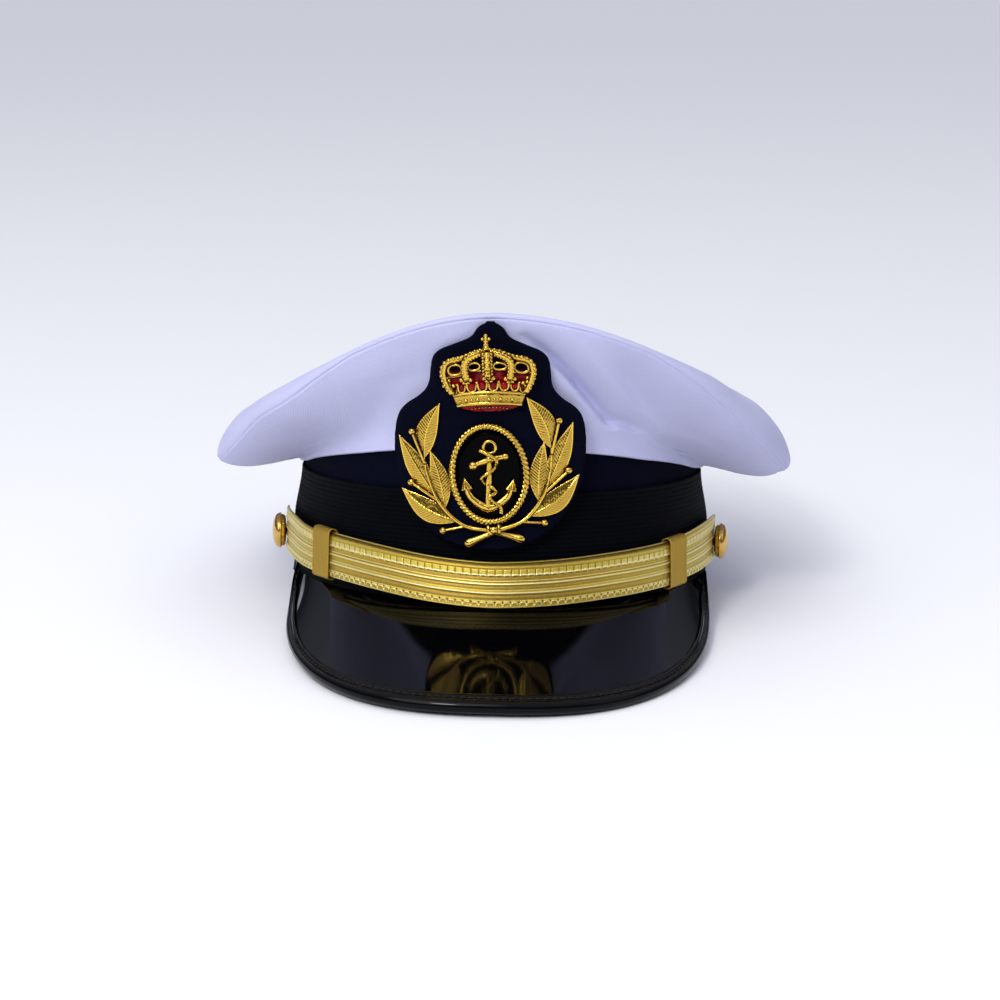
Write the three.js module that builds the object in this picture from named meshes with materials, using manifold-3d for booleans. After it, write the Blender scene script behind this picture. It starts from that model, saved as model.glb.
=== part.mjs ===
// Naval officer's peaked cap: white cover over a dark cloth body, ribbed band, patent visor,
// gold chin strap with slides and buttons, and a felt-backed crown, anchor and laurel badge.
// Millimetres, +Z up, the wearer faces -Y. The cap rests on its visor and the back of its band.
import * as THREE from 'three';
import { mergeVertices } from 'three/addons/utils/BufferGeometryUtils.js';
import Module from 'manifold-3d';

const wasm = await Module();
wasm.setup();

// Driving dimensions, in the cap's own frame: z = 0 at the band's bottom edge
const GAP = 0.3;
const SEGMENTS = 52;

const BAND = { halfWidth: 84, topHalfWidth: 81, halfLength: 106, height: 40.4, wall: 1.2, taperFrom: 18 };
const BODY = { wall: 2, aboveCoverEdge: 7, coverOffset: 0.6 };
const COVER = { wall: 1.8, rimHalfWidth: 116.9, rimHalfLength: 129, rimCentreX: 1.4, rimCentreY: 9,
  rimPower: 2.15, seamHalfGap: 0.2 };
const SIDE = { lowRise: 0.33, lowLift: 4, highDrop: 0.2, outwards: [0, 0.02, 0.68, 1],
  rows: [0, 0.12, 0.3, 0.5, 0.7, 0.87], foldReach: 60 };
const ROLL = { bulge: 0.16, reach: 1.05, least: 2.3, rows: [0.3, 0.65, 1], domeRows: [0.8, 0.5] };
const CROWN_TILT = { front: 0.123, frontReach: 97, rear: 0.105, rearFrom: 60, rearTo: 116, soften: 40 };
const VISOR = { wall: 2, halfWidth: 81, centreX: 1, frontY: -157, cornerY: -33, power: 2.5, endAngle: 74,
  innerInset: 0.6, innerZ: -0.7, frontZ: -26.6, rise: 23.5, riseLength: 168, risePower: 1.26,
  cornerLift: 6, cornerReach: 20, hollow: 0.12, lean: 0.006, rows: [0, 0.3, 0.6, 0.85, 1], steps: 30 };
const BINDING = { leg: 6, legShare: 0.45, proud: 1, nose: 1.9, slack: 0.4, round: 0.15 };
const STRAP = { width: 16.8, thickness: 1.2, offset: 1.3, doubledTo: 56, singleFrom: 68, endAngle: 77,
  tail: 4, steps: 28 };
const SLIDE = { length: 11.5, height: 19.6, wall: 0.6, clear: 0.35, leftAngle: -48, rightAngle: 51.4 };
const BUTTON = { radius: 7.2, angle: 73.5, shank: 1.2, hole: 1.5, holeLength: 12, holeSides: 10, sides: 14 };
const BADGE = { x: -1.4, z: 48.2, felt: 2.4, lowY: 110.2, highLean: 12.6, fromZ: 6, toZ: 102, leanPower: 2.6,
  acrossCurve: 220, mostClimb: 1.1 };
const RING = { halfWidth: 13.2, halfHeight: 17.3, wire: 1.45, sides: 5, steps: 28 };
const PLATE = { halfWidth: 11.2, halfHeight: 15.3, thickness: 1, sides: 24 };
const WREATH = { turn: 5.5, stem: 0.85, stemHeight: 1.4, over: 0.7, stalk: 0.6, berry: 1.5, berryHeight: 1.9 };
const TIE = { v: -20.4, w: 1.7, width: 3.6, height: 5, thickness: 2.6 };
const LEAF = { low: 0.5, edge: 0.7, rib: 0.8, bow: 0.5 };
const ANCHOR = { lift: 2.75, ringV: 9.6, ringRadius: 2.1, ringWire: 0.65 };
const FLUKE = { u: 8, v: -4, radius: 1.9, length: 4.2, flatten: 0.5, turn: 0.42 };
const CROWN = { v: 22.5, turn: 2.5, wire: 1.15, lift: 2.75, lining: 1, relief: 1.7, halfCirclet: 11.8,
  sag: 3 };
const FINIAL = { orbV: 22.4, orb: 1.9, crossV: 25.4, crossHeight: 5, crossWidth: 3.8, crossWire: 1.3 };

// Round the cap from the front: the cover's lower edge, its top panel's seam, how far that seam is higher
// on the right and lower on the left, and how far the side panel sags below it
const ROUND = [
  { angle: 0, edge: 57, seam: 105.4, lean: 0, sag: 5 },
  { angle: 10, edge: 56.6, seam: 103.8, lean: 0.3, sag: 5 },
  { angle: 20, edge: 55.6, seam: 97.4, lean: 0.7, sag: 5 },
  { angle: 30, edge: 54, seam: 86.7, lean: 1.7, sag: 5 },
  { angle: 40, edge: 51.9, seam: 74.1, lean: 1.9, sag: 5 },
  { angle: 50, edge: 49.6, seam: 62.7, lean: 0, sag: 6 },
  { angle: 60, edge: 47, seam: 52, lean: -0.8, sag: 7 },
  { angle: 70, edge: 44, seam: 44.8, lean: -0.8, sag: 8 },
  { angle: 90, edge: 40.7, seam: 40.6, lean: 0, sag: 8 },
  { angle: 105, edge: 40.7, seam: 45, lean: 0.5, sag: 7 },
  { angle: 120, edge: 40.7, seam: 52, lean: 0.5, sag: 6 },
  { angle: 135, edge: 40.7, seam: 60, lean: 0.5, sag: 5 },
  { angle: 150, edge: 40.7, seam: 66, lean: 0.3, sag: 5 },
  { angle: 165, edge: 40.7, seam: 69.3, lean: 0, sag: 5 },
  { angle: 180, edge: 40.7, seam: 70, lean: 0, sag: 5 },
];

// The top panel's height across the cap above the middle of the head, with its lean as above
const ARCH = [
  { x: 0, z: 91.7, lean: 0 }, { x: 40, z: 86.9, lean: 1.2 }, { x: 64, z: 80.4, lean: 2.4 },
  { x: 81, z: 75.4, lean: 2.9 }, { x: 89, z: 72, lean: 2.6 }, { x: 97, z: 67.7, lean: 2 },
  { x: 105, z: 62.9, lean: 1.6 }, { x: 113, z: 56, lean: 1.5 }, { x: 120, z: 47, lean: 1.5 },
];

// Creases pressed into the side panel: from and to, as angle and share of the height
const FOLDS = [
  { fromAngle: 24, fromShare: 0.95, toAngle: 43, toShare: 0.02, depth: 2.2, width: 5 },
  { fromAngle: -22, fromShare: 0.6, toAngle: -36, toShare: 0.1, depth: 1.4, width: 7 },
  { fromAngle: -62, fromShare: 0.3, toAngle: -72, toShare: 0.7, depth: 0.8, width: 5 },
  { fromAngle: 140, fromShare: 0.8, toAngle: 128, toShare: 0.1, depth: 1.2, width: 7 },
  { fromAngle: -150, fromShare: 0.8, toAngle: -138, toShare: 0.1, depth: 1.2, width: 7 },
];

// The height of the strap's middle line round the front of the band, to each side
const STRAP_LINE = [
  { angle: 0, left: 7.3, right: 7.3 }, { angle: 15, left: 8.9, right: 8.2 },
  { angle: 30, left: 11, right: 9.5 }, { angle: 40, left: 12.2, right: 10.3 },
  { angle: 50, left: 12.9, right: 11.1 }, { angle: 60, left: 13.6, right: 12.1 },
  { angle: 73.5, left: 14.7, right: 13.6 }, { angle: 80, left: 15.2, right: 14.2 },
];

// The felt backing, from its peak down, measured from the oval's centre
const FELT = [
  { v: 54.5, half: 1.2 }, { v: 53, half: 4.2 }, { v: 49.2, half: 7.2 }, { v: 46.4, half: 13.5 },
  { v: 44.5, half: 18 }, { v: 41.5, half: 20.6 }, { v: 37, half: 21.4 }, { v: 33, half: 21.9 },
  { v: 30, half: 23.3 }, { v: 27.4, half: 26 }, { v: 25, half: 29.6 }, { v: 22, half: 32.4 },
  { v: 17, half: 34 }, { v: 9, half: 34.5 }, { v: 0, half: 33.6 }, { v: -9, half: 30.6 },
  { v: -16.5, half: 26 }, { v: -22.5, half: 19.4 }, { v: -26.2, half: 11.5 }, { v: -27.6, half: 3 },
];

// One side's laurel leaves and berries: where each leaves its branch, and its tip
const LEAVES = [
  { along: 0.97, tipU: 16, tipV: 26.4, width: 6.2 },
  { along: 0.71, tipU: 31.7, tipV: 17, width: 7 },
  { along: 0.58, tipU: 20.6, tipV: 9.6, width: 6.2 },
  { along: 0.48, tipU: 31.9, tipV: -2.4, width: 7 },
];
const BERRIES = [
  { along: 0.93, tipU: 26.5, tipV: 17.2 }, { along: 0.62, tipU: 28.9, tipV: 0.4 },
  { along: 0.38, tipU: 18.4, tipV: -19.4 },
];
const BRANCH = [
  { u: -10.8, v: -24.8 }, { u: 0.5, v: -20.9 }, { u: 11, v: -17.8 }, { u: 18.6, v: -9.5 },
  { u: 22, v: 0 }, { u: 23, v: 7.5 },
];

// The crown's arches, as half widths from the circlet up to the orb
const ARCHES = [
  { foot: 11.4, out: 16.2, outV: 15, topU: 10.6, topV: 19.6, depth: 2.2 },
  { foot: 6, out: 8.9, outV: 14.2, topU: 6, topV: 19.6, depth: 3.6 },
  { foot: 0, out: 0, outV: 13.4, topU: 0, topV: 18.8, depth: 4.6 },
];

// The anchor's wires, from the middle of the ring: the shank, the stock, the arms and the rope round them
const ANCHOR_WIRES = [
  { radius: 1.15, sides: 6, steps: 1, points: [[0, 7.6, 0], [0, -11.2, 0]] },
  { radius: 0.85, sides: 6, steps: 1, points: [[-5.7, 3.2, 0], [5.7, 6.8, 0]] },
  { radius: 0.95, sides: 5, steps: 8,
    points: [[-7.9, -4, 0], [-5.6, -9.2, 0], [0, -11.9, 0], [5.6, -9.2, 0], [7.9, -4, 0]] },
  { radius: 0.6, sides: 4, steps: 16,
    points: [[-3.2, 8.4, 0.3], [2.2, 5.2, 1.5], [1.4, 1.6, 0.4], [-2.6, -0.6, 1.2], [2.6, -4, 1.3],
      [-1.4, -7.4, 1.2], [3.6, -12.6, 0.4]] },
];

// A button's face from its rim to its middle, as distance from the middle and height
const BUTTON_FACE = [
  { r: 7.2, y: 1.5 }, { r: 6.3, y: 1.9 }, { r: 5.9, y: 1.6 }, { r: 4.5, y: 3.8 }, { r: 2.2, y: 4.6 },
  { r: 0, y: 4.8 },
];

// The crown's enamelled cap, from the circlet up, and the places of its pearls on the circlet
const LINING = [
  { v: 0.4, half: 5.5 }, { v: 1.6, half: 9.5 }, { v: 4, half: 12 }, { v: 8, half: 13.2 },
  { v: 12, half: 14.6 }, { v: 14.6, half: 14.9 },
];
const PEARLS = { places: [-9.2, -4.6, 0, 4.6, 9.2], v: 6.5, radius: 1.9 };
const CIRCLETS = [2.2, 4.1];

// Materials
function finish(color, roughness, metalness) {
  return new THREE.MeshStandardMaterial({ color, roughness, metalness });
}
const MATERIALS = {
  cover: finish('#e9e9f4', 0.85, 0),
  cloth: finish('#10121d', 0.95, 0),
  band: finish('#0c0d10', 0.9, 0),
  patent: finish('#08080b', 0.12, 0),
  lace: finish('#d9b85a', 0.4, 0.8),
  slide: finish('#a98436', 0.55, 0.6),
  gold: finish('#e2a92c', 0.28, 1),
  enamel: finish('#a3122a', 0.2, 0),
  black: finish('#050507', 0.1, 0),
};

// Reads a named column of a table at a value between its rows, along a smooth curve
function read(table, key, column, value) {
  const last = table.length - 1;
  const at = (i) => table[Math.min(Math.max(i, 0), last)];
  let i = 0;
  while (i < last - 1 && value > table[i + 1][key]) i += 1;
  const slope = (j) => {
    const span = at(j + 1)[key] - at(j - 1)[key];
    return (at(j + 1)[column] - at(j - 1)[column]) / span;
  };
  const step = at(i + 1)[key] - at(i)[key];
  const s = THREE.MathUtils.clamp((value - at(i)[key]) / step, 0, 1);
  const from = at(i)[column] * (1 + 2 * s) * (1 - s) ** 2 + slope(i) * step * s * (1 - s) ** 2;
  const to = at(i + 1)[column] * s * s * (3 - 2 * s) - slope(i + 1) * step * s * s * (1 - s);
  return from + to;
}

// A point of an oval outline, by its angle in degrees from the front
function oval(angle, halfWidth, halfLength, power = 2) {
  const t = THREE.MathUtils.degToRad(angle);
  const reach = (Math.abs(Math.cos(t)) ** power + Math.abs(Math.sin(t)) ** power) ** (-1 / power);
  return new THREE.Vector2(halfWidth * reach * Math.sin(t), -halfLength * reach * Math.cos(t));
}

// The band's outline at a height, moved outwards by an offset
function bandPoint(angle, z, offset = 0) {
  const share = THREE.MathUtils.smoothstep(z, BAND.taperFrom, BAND.height);
  const halfWidth = THREE.MathUtils.lerp(BAND.halfWidth, BAND.topHalfWidth, share);
  const p = oval(angle, halfWidth + offset, BAND.halfLength + offset);
  return new THREE.Vector3(p.x, p.y, z);
}

function rimCentre() {
  return new THREE.Vector2(COVER.rimCentreX, COVER.rimCentreY);
}

function seamOutline(angle) {
  return oval(angle, COVER.rimHalfWidth, COVER.rimHalfLength, COVER.rimPower).add(rimCentre());
}

// A table's value round the cap, with its lean added on the right and taken off on the left
function leaning(table, key, column, place) {
  const out = Math.abs(place);
  return read(table, key, column, out) + Math.sign(place) * read(table, key, 'lean', out);
}

// Solids from grids of points
function closedBody(points, faces) {
  const geometry = new THREE.BufferGeometry();
  geometry.setAttribute('position', new THREE.Float32BufferAttribute(points.flatMap((p) => p.toArray()), 3));
  let volume = 0;
  for (const [a, b, c] of faces) volume += points[a].dot(points[b].clone().cross(points[c]));
  geometry.setIndex(faces.flatMap(([a, b, c]) => (volume < 0 ? [a, c, b] : [a, b, c])));
  return geometry;
}

function gridNormals(rows, ring) {
  const count = rows[0].length;
  return rows.map((row, j) => row.map((point, i) => {
    const before = ring ? row[(i + count - 1) % count] : row[Math.max(i - 1, 0)];
    const after = ring ? row[(i + 1) % count] : row[Math.min(i + 1, count - 1)];
    const below = rows[Math.max(j - 1, 0)][i];
    const above = rows[Math.min(j + 1, rows.length - 1)][i];
    return after.clone().sub(before).cross(above.clone().sub(below)).normalize();
  }));
}

// A wall between a grid of outer points and a grid of inner points; a pole closes its last row
function between(outer, inner, ring, pole) {
  const count = outer[0].length;
  const points = [...outer.flat(), ...inner.flat()];
  const inside = outer.length * count;
  const at = (j, i) => j * count + (i % count);
  const faces = [];
  const quad = (a, b, c, d) => faces.push([a, b, c], [a, c, d]);
  const spans = ring ? count : count - 1;
  for (let i = 0; i < spans; i += 1) {
    for (let j = 0; j < outer.length - 1; j += 1) {
      quad(at(j, i), at(j, i + 1), at(j + 1, i + 1), at(j + 1, i));
      quad(inside + at(j, i), inside + at(j + 1, i), inside + at(j + 1, i + 1), inside + at(j, i + 1));
    }
    quad(at(0, i), inside + at(0, i), inside + at(0, i + 1), at(0, i + 1));
    const top = outer.length - 1;
    if (pole) {
      faces.push([at(top, i), at(top, i + 1), points.length]);
      faces.push([inside + at(top, i + 1), inside + at(top, i), points.length + 1]);
    } else {
      quad(at(top, i), at(top, i + 1), inside + at(top, i + 1), inside + at(top, i));
    }
  }
  if (!ring) {
    for (let j = 0; j < outer.length - 1; j += 1) {
      const end = count - 1;
      quad(at(j, 0), at(j + 1, 0), inside + at(j + 1, 0), inside + at(j, 0));
      quad(at(j, end), inside + at(j, end), inside + at(j + 1, end), at(j + 1, end));
    }
  }
  if (pole) points.push(pole.outer, pole.inner);
  return closedBody(points, faces);
}

function offsetGrid(rows, normals, distance) {
  return rows.map((row, j) => row.map((point, i) => point.clone().addScaledVector(normals[j][i], distance)));
}

function ringAngles() {
  return Array.from({ length: SEGMENTS }, (_, i) => (i * 360) / SEGMENTS - 180);
}

// Joins and cuts
function solid(geometry) {
  const bare = geometry.clone();
  bare.deleteAttribute('normal');
  bare.deleteAttribute('uv');
  const merged = mergeVertices(bare, 1e-4);
  return new wasm.Manifold(new wasm.Mesh({
    numProp: 3,
    vertProperties: merged.attributes.position.array,
    triVerts: new Uint32Array(merged.index.array),
  }));
}

function backToGeometry(body) {
  const mesh = body.getMesh();
  const geometry = new THREE.BufferGeometry();
  geometry.setAttribute('position', new THREE.Float32BufferAttribute(mesh.vertProperties, 3));
  geometry.setIndex([...mesh.triVerts]);
  return geometry;
}

function joined(geometries) {
  return backToGeometry(geometries.map(solid).reduce((sum, next) => sum.add(next)));
}

// A round wire through points, closed at both ends
function wire(points, radius, sides, steps) {
  const circle = new THREE.Shape(Array.from({ length: sides }, (_, k) => {
    const t = (k * 2 * Math.PI) / sides;
    return new THREE.Vector2(radius * Math.cos(t), radius * Math.sin(t));
  }));
  const path = points.length > 2 ? new THREE.CatmullRomCurve3(points) : new THREE.LineCurve3(...points);
  return new THREE.ExtrudeGeometry(circle, { steps, bevelEnabled: false, extrudePath: path });
}

// Body: the dark cloth wall that carries everything else, up past the cover's lower edge
function bodyCloth() {
  const ring = (heightAt, offset) => ringAngles().map((angle) => bandPoint(angle, heightAt(angle), offset));
  const top = (angle) => read(ROUND, 'angle', 'edge', Math.abs(angle)) + BODY.aboveCoverEdge;
  const heights = [...bandHeights().map((z) => () => z), top];
  const outer = heights.map((heightAt) => ring(heightAt, -BAND.wall - GAP));
  const inner = heights.map((heightAt) => ring(heightAt, -BAND.wall - GAP - BODY.wall));
  return between(outer, inner, true);
}

function bandHeights() {
  return [0, BAND.taperFrom, BAND.height];
}

function ribbedBand() {
  const outer = bandHeights().map((z) => ringAngles().map((angle) => bandPoint(angle, z)));
  const inner = bandHeights().map((z) => ringAngles().map((angle) => bandPoint(angle, z, -BAND.wall)));
  return between(outer, inner, true);
}

// How far the creases press the side panel in, at an angle and a share of its height
function foldDepth(angle, share) {
  let depth = 0;
  for (const fold of FOLDS) {
    const s = THREE.MathUtils.clamp((share - fold.fromShare) / (fold.toShare - fold.fromShare), 0, 1);
    const across = (angle - THREE.MathUtils.lerp(fold.fromAngle, fold.toAngle, s)) / fold.width;
    const beyond = share - THREE.MathUtils.lerp(fold.fromShare, fold.toShare, s);
    const nearness = Math.exp(-across * across - SIDE.foldReach * beyond * beyond);
    depth += fold.depth * nearness * Math.sin(Math.PI * share);
  }
  return depth;
}

// The top panel's height over any place of the cap
function topHeight(x, y) {
  const out = Math.abs(x);
  const { rearFrom, rearTo } = CROWN_TILT;
  const front = CROWN_TILT.front * Math.max(0, 1 - (out / CROWN_TILT.frontReach) ** 2);
  const rear = CROWN_TILT.rear * (1 - THREE.MathUtils.smoothstep(out, rearFrom, rearTo));
  const bend = Math.hypot(y, CROWN_TILT.soften) - CROWN_TILT.soften;
  return leaning(ARCH, 'x', 'z', x) - (y * (front + rear)) / 2 - (bend * (rear - front)) / 2;
}

function seamHeight(angle) {
  const rim = seamOutline(angle);
  const highest = topHeight(rim.x, rim.y) - ROLL.least;
  return Math.min(leaning(ROUND, 'angle', 'seam', angle), highest);
}

// The side panel's outer face: up from its lower edge, then out and up to the seam
function sidePanelPoint(angle, share) {
  const edge = read(ROUND, 'angle', 'edge', Math.abs(angle));
  const seam = seamHeight(angle);
  const low = bandPoint(angle, edge, BODY.coverOffset);
  const high = seamOutline(angle);
  const rise = seam - edge;
  const t = share;
  const weights = [(1 - t) ** 3, 3 * t * (1 - t) ** 2, 3 * t * t * (1 - t), t ** 3];
  const sag = read(ROUND, 'angle', 'sag', Math.abs(angle));
  const belly = edge + SIDE.lowRise * rise + SIDE.lowLift;
  const heights = [edge, belly, seam - SIDE.highDrop * rise - sag, seam];
  const z = weights.reduce((sum, w, k) => sum + w * heights[k], 0);
  const out = weights.reduce((sum, w, k) => sum + w * SIDE.outwards[k], 0);
  const point = new THREE.Vector3(low.x + (high.x - low.x) * out, low.y + (high.y - low.y) * out, z);
  const inwards = new THREE.Vector3(-point.x, -point.y, 0).normalize();
  return point.addScaledVector(inwards, foldDepth(angle, share));
}

// The cut between the two panels at the seam, halfway between their directions
function seamCut(angle) {
  const rim = seamOutline(angle);
  const outwards = rim.clone().sub(rimCentre()).normalize();
  const step = sidePanelPoint(angle, 1).sub(sidePanelPoint(angle, 0.96));
  const run = new THREE.Vector2(step.x * outwards.x + step.y * outwards.y, step.z).normalize();
  const cut = new THREE.Vector2(-run.y - 1, run.x).normalize();
  const depth = COVER.wall / Math.abs(cut.x);
  const lift = (r, z) => new THREE.Vector3(outwards.x * r, outwards.y * r, z);
  return {
    seam: new THREE.Vector3(rim.x, rim.y, seamHeight(angle)),
    inwards: lift(cut.x * depth, cut.y * depth),
    apart: lift(cut.y, -cut.x).setLength(COVER.seamHalfGap),
    inset: -cut.x * depth,
    rise: cut.y * depth,
  };
}

// The top panel's face: a roll up from the seam, then the dome in to the middle
function topPanelPoint(angle, rollShare, domeShare, inside) {
  const rim = seamOutline(angle);
  const centre = rimCentre();
  const cut = seamCut(angle);
  const wall = inside ? COVER.wall : 0;
  const foot = seamHeight(angle) + (inside ? cut.rise : 0);
  const height = topHeight(rim.x, rim.y) - wall - foot;
  const turn = (rollShare * Math.PI) / 2;
  const bulge = ROLL.bulge * height * Math.sin(2 * turn);
  const inset = (inside ? cut.inset : 0) + ROLL.reach * height * (1 - Math.cos(turn)) - bulge;
  const place = centre.clone().lerp(rim, (1 - inset / rim.distanceTo(centre)) * domeShare);
  const drop = height * (1 - Math.sin(turn));
  return new THREE.Vector3(place.x, place.y, topHeight(place.x, place.y) - wall - drop);
}

// The cover's two panels, a small gap apart along the seam
function coverPanels() {
  const cuts = ringAngles().map(seamCut);
  const side = SIDE.rows.map((share) => ringAngles().map((angle) => sidePanelPoint(angle, share)));
  const sideInner = offsetGrid(side, gridNormals(side, true), -COVER.wall);
  side.push(cuts.map(({ seam, apart }) => seam.clone().sub(apart)));
  sideInner.push(cuts.map(({ seam, inwards, apart }) => seam.clone().add(inwards).sub(apart)));
  const topRows = (inside) => {
    const roll = ROLL.rows.map((share) => (
      ringAngles().map((angle) => topPanelPoint(angle, share, 1, inside))));
    const dome = ROLL.domeRows.map((share) => (
      ringAngles().map((angle) => topPanelPoint(angle, 1, share, inside))));
    const edge = cuts.map(({ seam, inwards, apart }) => (
      inside ? seam.clone().add(inwards).add(apart) : seam.clone().add(apart)));
    return [edge, ...roll, ...dome];
  };
  const { rimCentreX, rimCentreY } = COVER;
  const middle = new THREE.Vector3(rimCentreX, rimCentreY, topHeight(rimCentreX, rimCentreY));
  const pole = { outer: middle, inner: middle.clone().setZ(middle.z - COVER.wall) };
  return {
    side: between(side, sideInner, true),
    top: between(topRows(false), topRows(true), true, pole),
  };
}

// Visor: from its inner edge under the band down to the rim
function visorRim(share) {
  const angle = share * 90;
  const depth = VISOR.cornerY - VISOR.frontY;
  const p = oval(angle, VISOR.halfWidth, depth, VISOR.power);
  p.add(new THREE.Vector2(VISOR.centreX, VISOR.cornerY));
  const back = (p.y - VISOR.frontY) / VISOR.riseLength;
  const corner = Math.max(0, 1 - (VISOR.cornerY - p.y) / VISOR.cornerReach);
  const z = VISOR.frontZ + VISOR.rise * Math.max(back, 0) ** VISOR.risePower;
  return new THREE.Vector3(p.x, p.y, z - VISOR.lean * p.x + VISOR.cornerLift * corner * corner);
}

function visorPoint(share, reach) {
  const inner = bandPoint(share * VISOR.endAngle, 0, -VISOR.innerInset).setZ(VISOR.innerZ);
  const rim = visorRim(share);
  const point = inner.clone().lerp(rim, reach);
  const sink = VISOR.hollow * (inner.z - rim.z) * reach * (1 - reach);
  return point.setZ(point.z - sink);
}

// Places along the visor from corner to corner, closer together near the corners
function visorShares() {
  return Array.from({ length: VISOR.steps + 1 }, (_, i) => {
    const even = (2 * i) / VISOR.steps - 1;
    return (even + Math.sin((even * Math.PI) / 2)) / 2;
  });
}

function legReach(share) {
  const width = visorPoint(share, 0).distanceTo(visorPoint(share, 1));
  return 1 - Math.min(BINDING.leg, BINDING.legShare * width) / width;
}

function visorRows() {
  const face = VISOR.rows.map((part) => (
    visorShares().map((share) => visorPoint(share, legReach(share) * part))));
  return [...face, visorShares().map((share) => visorPoint(share, 1))];
}

function visorNormals(rows) {
  return gridNormals(rows, false).map((row) => row.map((n) => (n.z < 0 ? n.negate() : n)));
}

function visor() {
  const rows = visorRows();
  return between(rows, offsetGrid(rows, visorNormals(rows), -VISOR.wall), false);
}

// Binding: a strip folded round the visor's rim, from just inside one corner to the other
function visorBinding() {
  const rows = visorRows();
  const normals = visorNormals(rows);
  const rim = rows.length - 1;
  const { proud, nose, slack, round } = BINDING;
  const bottom = -VISOR.wall - slack;
  const section = [
    { row: rim - 1, out: 0, up: slack }, { row: rim, out: slack, up: slack },
    { row: rim, out: slack, up: bottom }, { row: rim - 1, out: 0, up: bottom },
    { row: rim - 1, out: 0, up: bottom - proud }, { row: rim, out: slack, up: bottom - proud },
    { row: rim, out: nose, up: bottom * (1 - round) }, { row: rim, out: nose, up: bottom * round },
    { row: rim, out: slack, up: slack + proud }, { row: rim - 1, out: 0, up: slack + proud },
  ];
  const points = [];
  for (let i = 1; i < VISOR.steps; i += 1) {
    const out = rows[rim][i].clone().sub(rows[rim - 1][i]).normalize();
    for (const corner of section) {
      const foot = rows[corner.row][i].clone().addScaledVector(out, corner.out);
      points.push(foot.addScaledVector(normals[corner.row][i], corner.up));
    }
  }
  return sweep(points, section.length);
}

// A solid swept through sections of equal point count, with flat ends
function sweep(points, size) {
  const faces = [];
  const end = points.length - size;
  for (let s = 0; s < end; s += size) {
    for (let k = 0; k < size; k += 1) {
      const a = s + k;
      const b = s + ((k + 1) % size);
      faces.push([a, b, b + size], [a, b + size, a + size]);
    }
  }
  const flat = layFlat(points.slice(0, size));
  const turn = Math.sign(THREE.ShapeUtils.area(flat));
  for (const corner of THREE.ShapeUtils.triangulateShape(flat, [])) {
    const same = Math.sign(THREE.ShapeUtils.area(corner.map((k) => flat[k]))) === turn;
    const [a, b, c] = same ? corner : [...corner].reverse();
    faces.push([c, b, a], [end + a, end + b, end + c]);
  }
  return closedBody(points, faces);
}

// A section's points laid flat, so that its end can be filled with triangles
function layFlat(section) {
  const u = section[1].clone().sub(section[0]).normalize();
  const w = u.clone().cross(section[2].clone().sub(section[0])).normalize();
  const v = w.clone().cross(u);
  return section.map((p) => {
    const d = p.clone().sub(section[0]);
    return new THREE.Vector2(d.dot(u), d.dot(v));
  });
}

// Strap: two lengths of lace, each buttoned at one side and held by the slide at the other
function strapOffset(angle, isOuter) {
  const over = isOuter ? STRAP.thickness + GAP : 0;
  const single = THREE.MathUtils.smoothstep(Math.abs(angle), STRAP.doubledTo, STRAP.singleFrom);
  return STRAP.offset + over * (1 - single);
}

function strapHeight(angle) {
  return read(STRAP_LINE, 'angle', angle < 0 ? 'left' : 'right', Math.abs(angle));
}

function strapPoint(angle, isOuter, across, out) {
  const z = strapHeight(angle) + across * STRAP.width;
  return bandPoint(angle, 0, strapOffset(angle, isOuter) + out).setZ(z);
}

function strapLength(fromAngle, toAngle, isOuter) {
  const angles = Array.from({ length: STRAP.steps + 1 }, (_, i) => (
    THREE.MathUtils.lerp(fromAngle, toAngle, i / STRAP.steps)));
  const row = (across, out) => angles.map((angle) => strapPoint(angle, isOuter, across, out));
  const outer = [row(-0.5, STRAP.thickness), row(0.5, STRAP.thickness)];
  const inner = [row(-0.5, 0), row(0.5, 0)];
  const hole = new THREE.CylinderGeometry(BUTTON.hole, BUTTON.hole, BUTTON.holeLength, BUTTON.holeSides);
  seatButton(hole, Math.sign(fromAngle));
  return backToGeometry(solid(between(outer, inner, false)).subtract(solid(hole)));
}

// Moves a shape drawn round +Y to a button's seat on the strap, facing outwards
function seatButton(geometry, side) {
  const angle = side * BUTTON.angle;
  const seat = bandPoint(angle, 0, STRAP.offset + STRAP.thickness).setZ(strapHeight(angle));
  const out = new THREE.Vector3(seat.x / BAND.halfWidth ** 2, seat.y / BAND.halfLength ** 2, 0).normalize();
  geometry.applyQuaternion(new THREE.Quaternion().setFromUnitVectors(new THREE.Vector3(0, 1, 0), out));
  return geometry.translate(...seat.toArray());
}

// Button: a domed face in a raised rim, on a shank that passes through the strap
function button(side) {
  const { radius, shank } = BUTTON;
  const shankEnd = -(STRAP.offset + STRAP.thickness - GAP);
  const back = [
    { r: 0, y: shankEnd }, { r: shank, y: shankEnd }, { r: shank, y: GAP }, { r: radius, y: GAP },
  ];
  const profile = [...back, ...BUTTON_FACE].map(({ r, y }) => new THREE.Vector2(r, y));
  return seatButton(backToGeometry(solid(new THREE.LatheGeometry(profile, BUTTON.sides))), side);
}

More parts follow.
